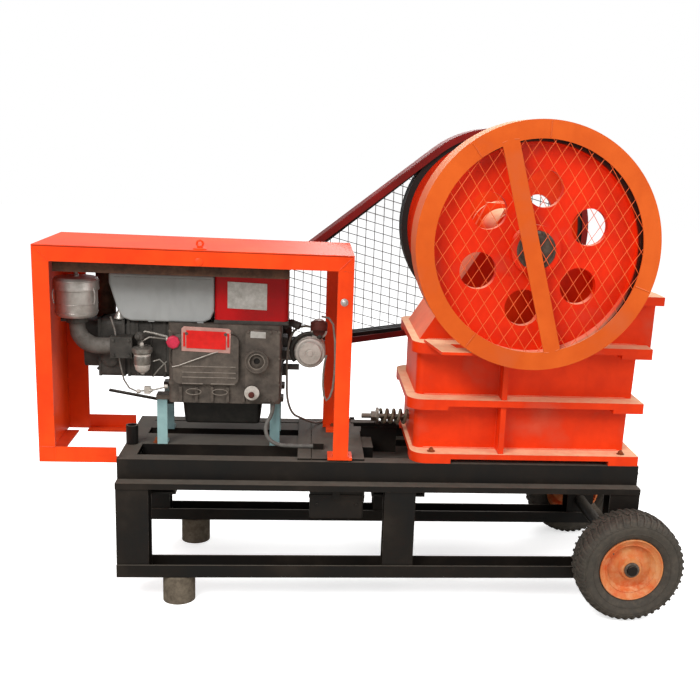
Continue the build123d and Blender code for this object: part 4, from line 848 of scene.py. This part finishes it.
# Cast saddle round the foot of the hopper
left, right = hopper_low[0] - 0.6, hopper_high[0] + 1.2
front, back = hopper_low[1], hopper_high[1]
foot, saddle_top = hopper_low[2], hopper_low[2] + 11
box((left, front - 1.2, foot), (right, front + 4, saddle_top))
box((left, back - 4, foot), (right, back + 1.2, saddle_top))
box((hopper_high[0] - 4, front + 4, foot), (right, back - 4, saddle_top))
finish("hopper_saddle", "dark_casting", edges=0.8)

# Exhaust muffler standing on the far side of the cylinder head
MUFFLER = (-802, 46)
barrel = [(0, -8), (24, -8), (27, 0), (29, 8), (29, 140), (27, 145), (12, 149), (11, 164), (0, 164)]
lathe(barrel, (*MUFFLER, 800), UP, 32)
for z in (832, 936):
    hoop((*MUFFLER, z), 29.2, 1.4, 350, 35, "XY")
finish("exhaust_muffler", "burnt_steel")

# Cylinder: cooling-jacket flanges, studs, push-rod tubes and round cover
ROUND_COVER = (-770, -75, 700)
for x in (-612, -716, -731, -800):
    box((x - 4, -77, 644), (x + 4, 77, 814))
for z in (664, 690, 716, 742, 768, 794):
    bolt((-806, -64, z), NEAR, 10, 5, stub=2)
for x in (-650, -690):
    box((x - 3, -79, 650), (x + 3, -70, 806))
lathe([(0, 0), (26, 0), (26, 8), (18, 12), (0, 12)], ROUND_COVER, NEAR, 24)
for u, v in around(20, 90, 3):
    bolt((ROUND_COVER[0] + u, ROUND_COVER[1] - 8, ROUND_COVER[2] + v), NEAR, 8, 4)
finish("cylinder_ribs", "dark_casting", edges=1.2)

# Small fuel pipes in front of the cylinder, and their unions
tube([
    (-764, -92, 826), (-752, -98, 790), (-745, -100, 743), (-738, -102, 690), (-727, -104, 640),
    (-712, -106, 616), (-690, -107, 606), (-640, -108, 612), (-602, -104, 622),
], 2.6)
tube([(-674, -117, 742), (-672, -117, 760), (-650, -112, 772), (-604, -104, 766)], 2.8)
tube([(-640, -112, 700), (-622, -112, 706), (-606, -110, 690), (-604, -108, 668)], 2.4)
tube([(-686, -96, 772), (-663, -100, 786), (-640, -102, 782), (-600, -104, 773)], 4.2)
tube([(-643, -108, 652), (-628, -110, 672), (-602, -110, 700)], 2.2)
finish("fuel_pipes", "pipe_steel")
union = [(0, 0), (6.5, 0), (6.5, 9), (5, 11), (0, 11)]
for spot in ((-690, -107, 606), (-655, -108, 610), (-604, -104, 766), (-610, -110, 624)):
    lathe(union, spot, (1, 0, 0), 6)
lathe(union, (-672, -117, 746), UP, 6)
box((-668, -113, 600), (-650, -99, 622))
finish("pipe_unions", "dull_alloy", edges=0.6)

# Bowl of the fuel filter under its cast head, and the tap above it
FILTER = (-671, -117, 0)
TAP = (-677, -114)
bowl = [(0, 736), (23.5, 736), (24, 724), (23, 690), (20, 676), (12, 668), (6, 666), (6, 662), (0, 662)]
lathe(bowl, FILTER, UP, 36)
box((-683, -100, 728), (-653, -75.4, 742))
finish("filter_bowl", "dull_alloy", replaces=["fuel_filter"])
lathe([(0, 748), (8, 748), (8, 744.5), (24, 744), (30, 740), (30, 729), (27, 725), (0, 725)], FILTER, UP, 32)
lathe([(24.2, 718), (24.8, 716), (24.4, 694), (23.6, 692)], FILTER, UP, 32)
finish("filter_head", "pipe_steel")
lathe([(0, 747), (7, 747), (7, 764), (13, 767), (13, 782), (9, 788), (0, 789)], (*TAP, 0), UP, 12)
lathe([(0, 0), (9, 0), (9, 14), (6, 17), (0, 17)], (*TAP, 772), (-0.5, -0.8, 0.2), 12)
finish("fuel_tap", "dark_casting", edges=0.6)

# Breather cone behind the intake pipe
lathe([(0, 0), (5, 0), (16, -22), (17, -26), (0, -26)], (-743, -60, 842), UP, 20)
finish("breather", "plate_alloy")

# Leaning bar below the cylinder, and its block
box((-780, -67, 577.8), (-600, -53, 584.2), Matrix.Rotation(math.radians(10), 4, "Y"))
box((-612, -66, 558), (-590, -54, 580))
finish("stay_bar", "black_paint", edges=0.8)

# Tank: filler cap, seam and straps
neck = (tank_low[0] + 90, 0, tank_high[2] - 10)
lathe([(0, 0), (30, 0), (31, 3), (31, 12), (26, 16), (0, 17)], neck, UP, 24)
finish("tank_cap", "dull_alloy", edges=1.0)
for x in (tank_low[0] + 120, tank_high[0] - 40):
    box((x - 9, tank_low[1] - 1.2, 815), (x + 9, tank_low[1] + 0.4, 818))
SEAM_Y, SEAM_Z = tank_low[1] + 0.2, 944
bead([(tank_low[0] + 8, SEAM_Y, SEAM_Z), (tank_high[0] - 6, SEAM_Y, SEAM_Z)], 1.2, 6.0)
finish("tank_seam", "tank_enamel")

# Alternator: cooling fan, face bolts and housing ridges
ALT_X, ALT_Z = -182.0, 725.0
lathe([(0, 5), (8, 5), (9, 2.5), (14, 2.5), (15, 4), (33, 4), (36, 0)], (ALT_X, -64, ALT_Z), NEAR, 36)
for u, v in around(35, 20, 3):
    bolt((ALT_X + u, -60.5, ALT_Z + v), NEAR, 8, 4)
for y in (-40, -18, 30):
    hoop((ALT_X, y, ALT_Z), 46.2, 1.5, 352, 47)
finish("alternator_face", "dull_alloy")

# Clamp bracket round the alternator, and the regulator cap
clamp = arc((ALT_X, -30, ALT_Z), 56, 60, 215, 14)
tube(clamp, 6.5)
box((-262, -42, 668), (-214, -18, 682))
for z in (648, 700, 742):
    box((-266, -36, z), (-252, 20, z + 26))
bolt(clamp[0] + Vector((0, -6, 0)), NEAR, 11, 6, WASHER, 3)
tube([(-262, -20, 800), (-240, -30, 812), (-214, -40, 804)], 12, 10)
finish("alternator_bracket", "dark_casting", edges=1.0)
lathe([(0, 0), (24.4, 0), (25.4, 3), (25.4, 26), (21, 30), (0, 31)], (-156, -38, 791), (0, 0.2, 1), 28)
lathe([(0, 0), (18, 0), (19, 3), (17, 7), (0, 8)], (-156, -34, 791), NEAR, 28)
finish("regulator_cap", "regulator_red", edges=0.8)

# Air cleaner with its wider upper shell and clips
base, crown = can_low[2], can_high[2]
lower_shell = [(0, base), (50, base), (57, base + 5), (59.6, base + 12), (59.6, 905), (64.2, 906.5)]
upper_shell = [(64.8, 910), (64, 913), (63.4, crown - 9), (58, crown - 3), (20, crown - 1), (0, crown - 0.5)]
lathe(lower_shell + upper_shell, (CAN_X, CAN_Y, 0), UP, 56)
for z, radius in ((842, 59.8), (866, 59.8), (932, 63.6)):
    hoop((CAN_X, CAN_Y, z), radius, 1.1, 353, 55, "XY")
for u, v in around(1, -150, 3):
    out = Vector((u, v, 0))
    start = Vector((CAN_X, CAN_Y, 0)) + out * 64.6
    clip = [start + out * lift + Vector((0, 0, z)) for lift, z in ((0, 868), (3, 882), (3, 900), (-2, 914))]
    tube(clip, 1.8, 6)
lathe([(0, 0), (9, 0), (9, 4), (6, 7), (6, 12), (0, 13)], (CAN_X, CAN_Y, can_high[2] - 1), UP, 6)
finish("can_body", "can_sheet", replaces=["air_cleaner"])

# Clamp and bent pipe below the air cleaner, and the port that the pipe ends in
lathe([(24, 0), (30, 0), (31, 3), (31, 13), (29, 16), (24, 16)], (CAN_X, CAN_Y, 809), UP, 36)
tube([(CAN_X - 26, CAN_Y - 14, 817), (CAN_X - 42, CAN_Y - 16, 817)], 5.0)
finish("intake_clamp", "dark_casting", edges=0.6)
PORT_X, PORT_Z = BLOCK_LEFT - 133, 741.0
BEND_RADIUS = 58
bend = arc((CAN_X + BEND_RADIUS, CAN_Y, PORT_Z + BEND_RADIUS), BEND_RADIUS, 180, 270, 14)
pipe_path = [Vector((CAN_X, CAN_Y, base - 0.4)), *bend, Vector((PORT_X - 30, CAN_Y, PORT_Z))]
tube(pipe_path, [22.5] * 4 + [24.0] * 4 + [25.0] * 4 + [24.0] * (len(pipe_path) - 12), 28)
finish("intake_pipe", "elbow_casting", replaces=["intake_elbow"], smooth=60)
PORT_FACE = -127
box((PORT_X - 31, PORT_FACE, PORT_Z - 31), (PORT_X + 31, -75.4, PORT_Z + 31))
for x, z in ((-22, -22), (-22, 22), (22, -22), (22, 22)):
    bolt((PORT_X + x, PORT_FACE, PORT_Z + z), NEAR, 9, 5)
finish("intake_port", "dark_casting", edges=4.0)

# Box under the skid: hinge, hasp and two screws
box((box_high[0] - 8, box_low[1] - 3, 312), (box_high[0] - 1, box_low[1] + 2, 342))
box((box_low[0] + 70, box_low[1] - 3, 318), (box_low[0] + 92, box_low[1] + 2, 346))
for x in (box_low[0] + 24, box_high[0] - 24):
    bolt((x, box_low[1] + 3.8, 300), NEAR, 8, 3)
finish("box_hasp", "black_paint", edges=0.8)

# Loose strap end near the wheel, and a bolt in the end of the skid
box((667, -273.5, 299.5), (727, -270.5, 312.5), Matrix.Rotation(math.radians(48), 4, "Y"))
bolt((824, -206, 405), (1, 0, 0), 13, 6, WASHER, 3)
finish("strap_end", "greasy_steel", edges=0.5)

# Cables, with the route points of the solids that they stand for
ROUTES = {
    "sleeve_cable": (6.0, 0.255, "cable_sleeve", "cable_sleeve", [
        (-290, -98, 575.7), (-290, -98, 543), (-312, -112, 512), (-306, -122, 474),
        (-276, -121, 451), (-225, -114, 446.6), (-166.3, -114, 446.6),
    ]),
    "lead_cable": (3.5, 0.65, "lead_jacket", "hose_rubber", [
        (-181.5, -8, 797), (-212, -12, 803), (-242, -30, 776), (-252, -50, 718), (-250, -60, 646),
        (-249, -62, 580), (-232, -52, 530), (-206, 14, 500), (-180, 86, 468), (-152, 148, 444.1),
        (-116, 194, 444.1), (-76, 204, 444.1), (-42.3, 204, 444.1),
    ]),
}
for name, (radius, length, jacket, slot_name, points) in ROUTES.items():
    curve = bpy.data.curves.new(name + "_line", "CURVE")
    curve.dimensions = "3D"
    spline = curve.splines.new("NURBS")
    spline.points.add(len(points) - 1)
    for point, place in zip(spline.points, points):
        point.co = (*(Vector(place) * MM), 1.0)
    spline.order_u = 3
    spline.use_endpoint_u = True
    curve.resolution_u = 10
    curve.bevel_depth = radius * MM
    curve.bevel_resolution = 3
    curve.use_fill_caps = True
    curve.materials.append(COATS[jacket])
    piece = bpy.data.objects.new(name + "_line", curve)
    bpy.context.scene.collection.objects.link(piece)
    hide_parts(name)
    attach(piece, "machine")

# Pale floor that shows near white to the camera
bmesh.ops.create_grid(bm, x_segments=1, y_segments=1, size=14.0)
floor_mesh = bpy.data.meshes.new("floor")
bm.to_mesh(floor_mesh)
bm.free()
floor = bpy.data.objects.new("floor", floor_mesh)
bpy.context.scene.collection.objects.link(floor)
floor_material, tree = new_tree("studio_floor")
to_camera = add(tree, "ShaderNodeLightPath").outputs["Is Camera Ray"]
paint = add(tree, "ShaderNodeBsdfDiffuse", {"Color": tone("F4F3F1")}).outputs["BSDF"]
ground = add(tree, "ShaderNodeBsdfDiffuse", {"Color": tone("C4C0B8")}).outputs["BSDF"]
glow = add(tree, "ShaderNodeEmission", {"Color": (1.0, 1.0, 1.0, 1.0), "Strength": 0.62}).outputs["Emission"]
lit = add(tree, "ShaderNodeAddShader", None, {0: paint, 1: glow}).outputs["Shader"]
seen = add(tree, "ShaderNodeMixShader", None, {0: to_camera, 1: ground, 2: lit}).outputs["Shader"]
add(tree, "ShaderNodeOutputMaterial", None, {"Surface": seen})
floor_mesh.materials.append(floor_material)

# World that lights softly and shows white to the camera
world = bpy.data.worlds.new("studio")
bpy.context.scene.world = world
world.use_nodes = True
tree = world.node_tree
tree.nodes.clear()
rays = add(tree, "ShaderNodeLightPath").outputs
seen = combine(tree, rays["Is Camera Ray"], rays["Is Transmission Ray"], "MAXIMUM")
light = add(tree, "ShaderNodeBackground", {"Color": (0.95, 0.97, 1.0, 1.0), "Strength": 0.55})
white = add(tree, "ShaderNodeBackground", {"Color": (1.0, 1.0, 1.0, 1.0), "Strength": 1.0})
mixed = {0: seen, 1: light.outputs["Background"], 2: white.outputs["Background"]}
sky = add(tree, "ShaderNodeMixShader", None, mixed)
add(tree, "ShaderNodeOutputWorld", None, {"Surface": sky.outputs["Shader"]})


# Soft rectangular lamps, in metres and watts
def lamp(name, place, aim, size, power):
    data = bpy.data.lights.new(name, "AREA")
    data.shape = "RECTANGLE"
    data.size, data.size_y = size
    data.energy = power
    obj = bpy.data.objects.new(name, data)
    bpy.context.scene.collection.objects.link(obj)
    facing = (Vector(aim) - Vector(place)).to_track_quat("-Z", "Y")
    obj.matrix_world = Matrix.Translation(place) @ facing.to_matrix().to_4x4()


lamp("key", (-2.2, -3.2, 3.6), (0.1, 0, 0.7), (2.4, 1.8), 170)
lamp("fill", (3.4, -2.4, 2.2), (0.2, 0, 0.7), (2.4, 2.0), 78)
lamp("top", (0.2, 0.6, 4.2), (0, 0, 0.6), (3.0, 2.4), 52)
lamp("back", (1.0, 3.6, 2.6), (0, 0, 0.7), (2.6, 1.8), 60)
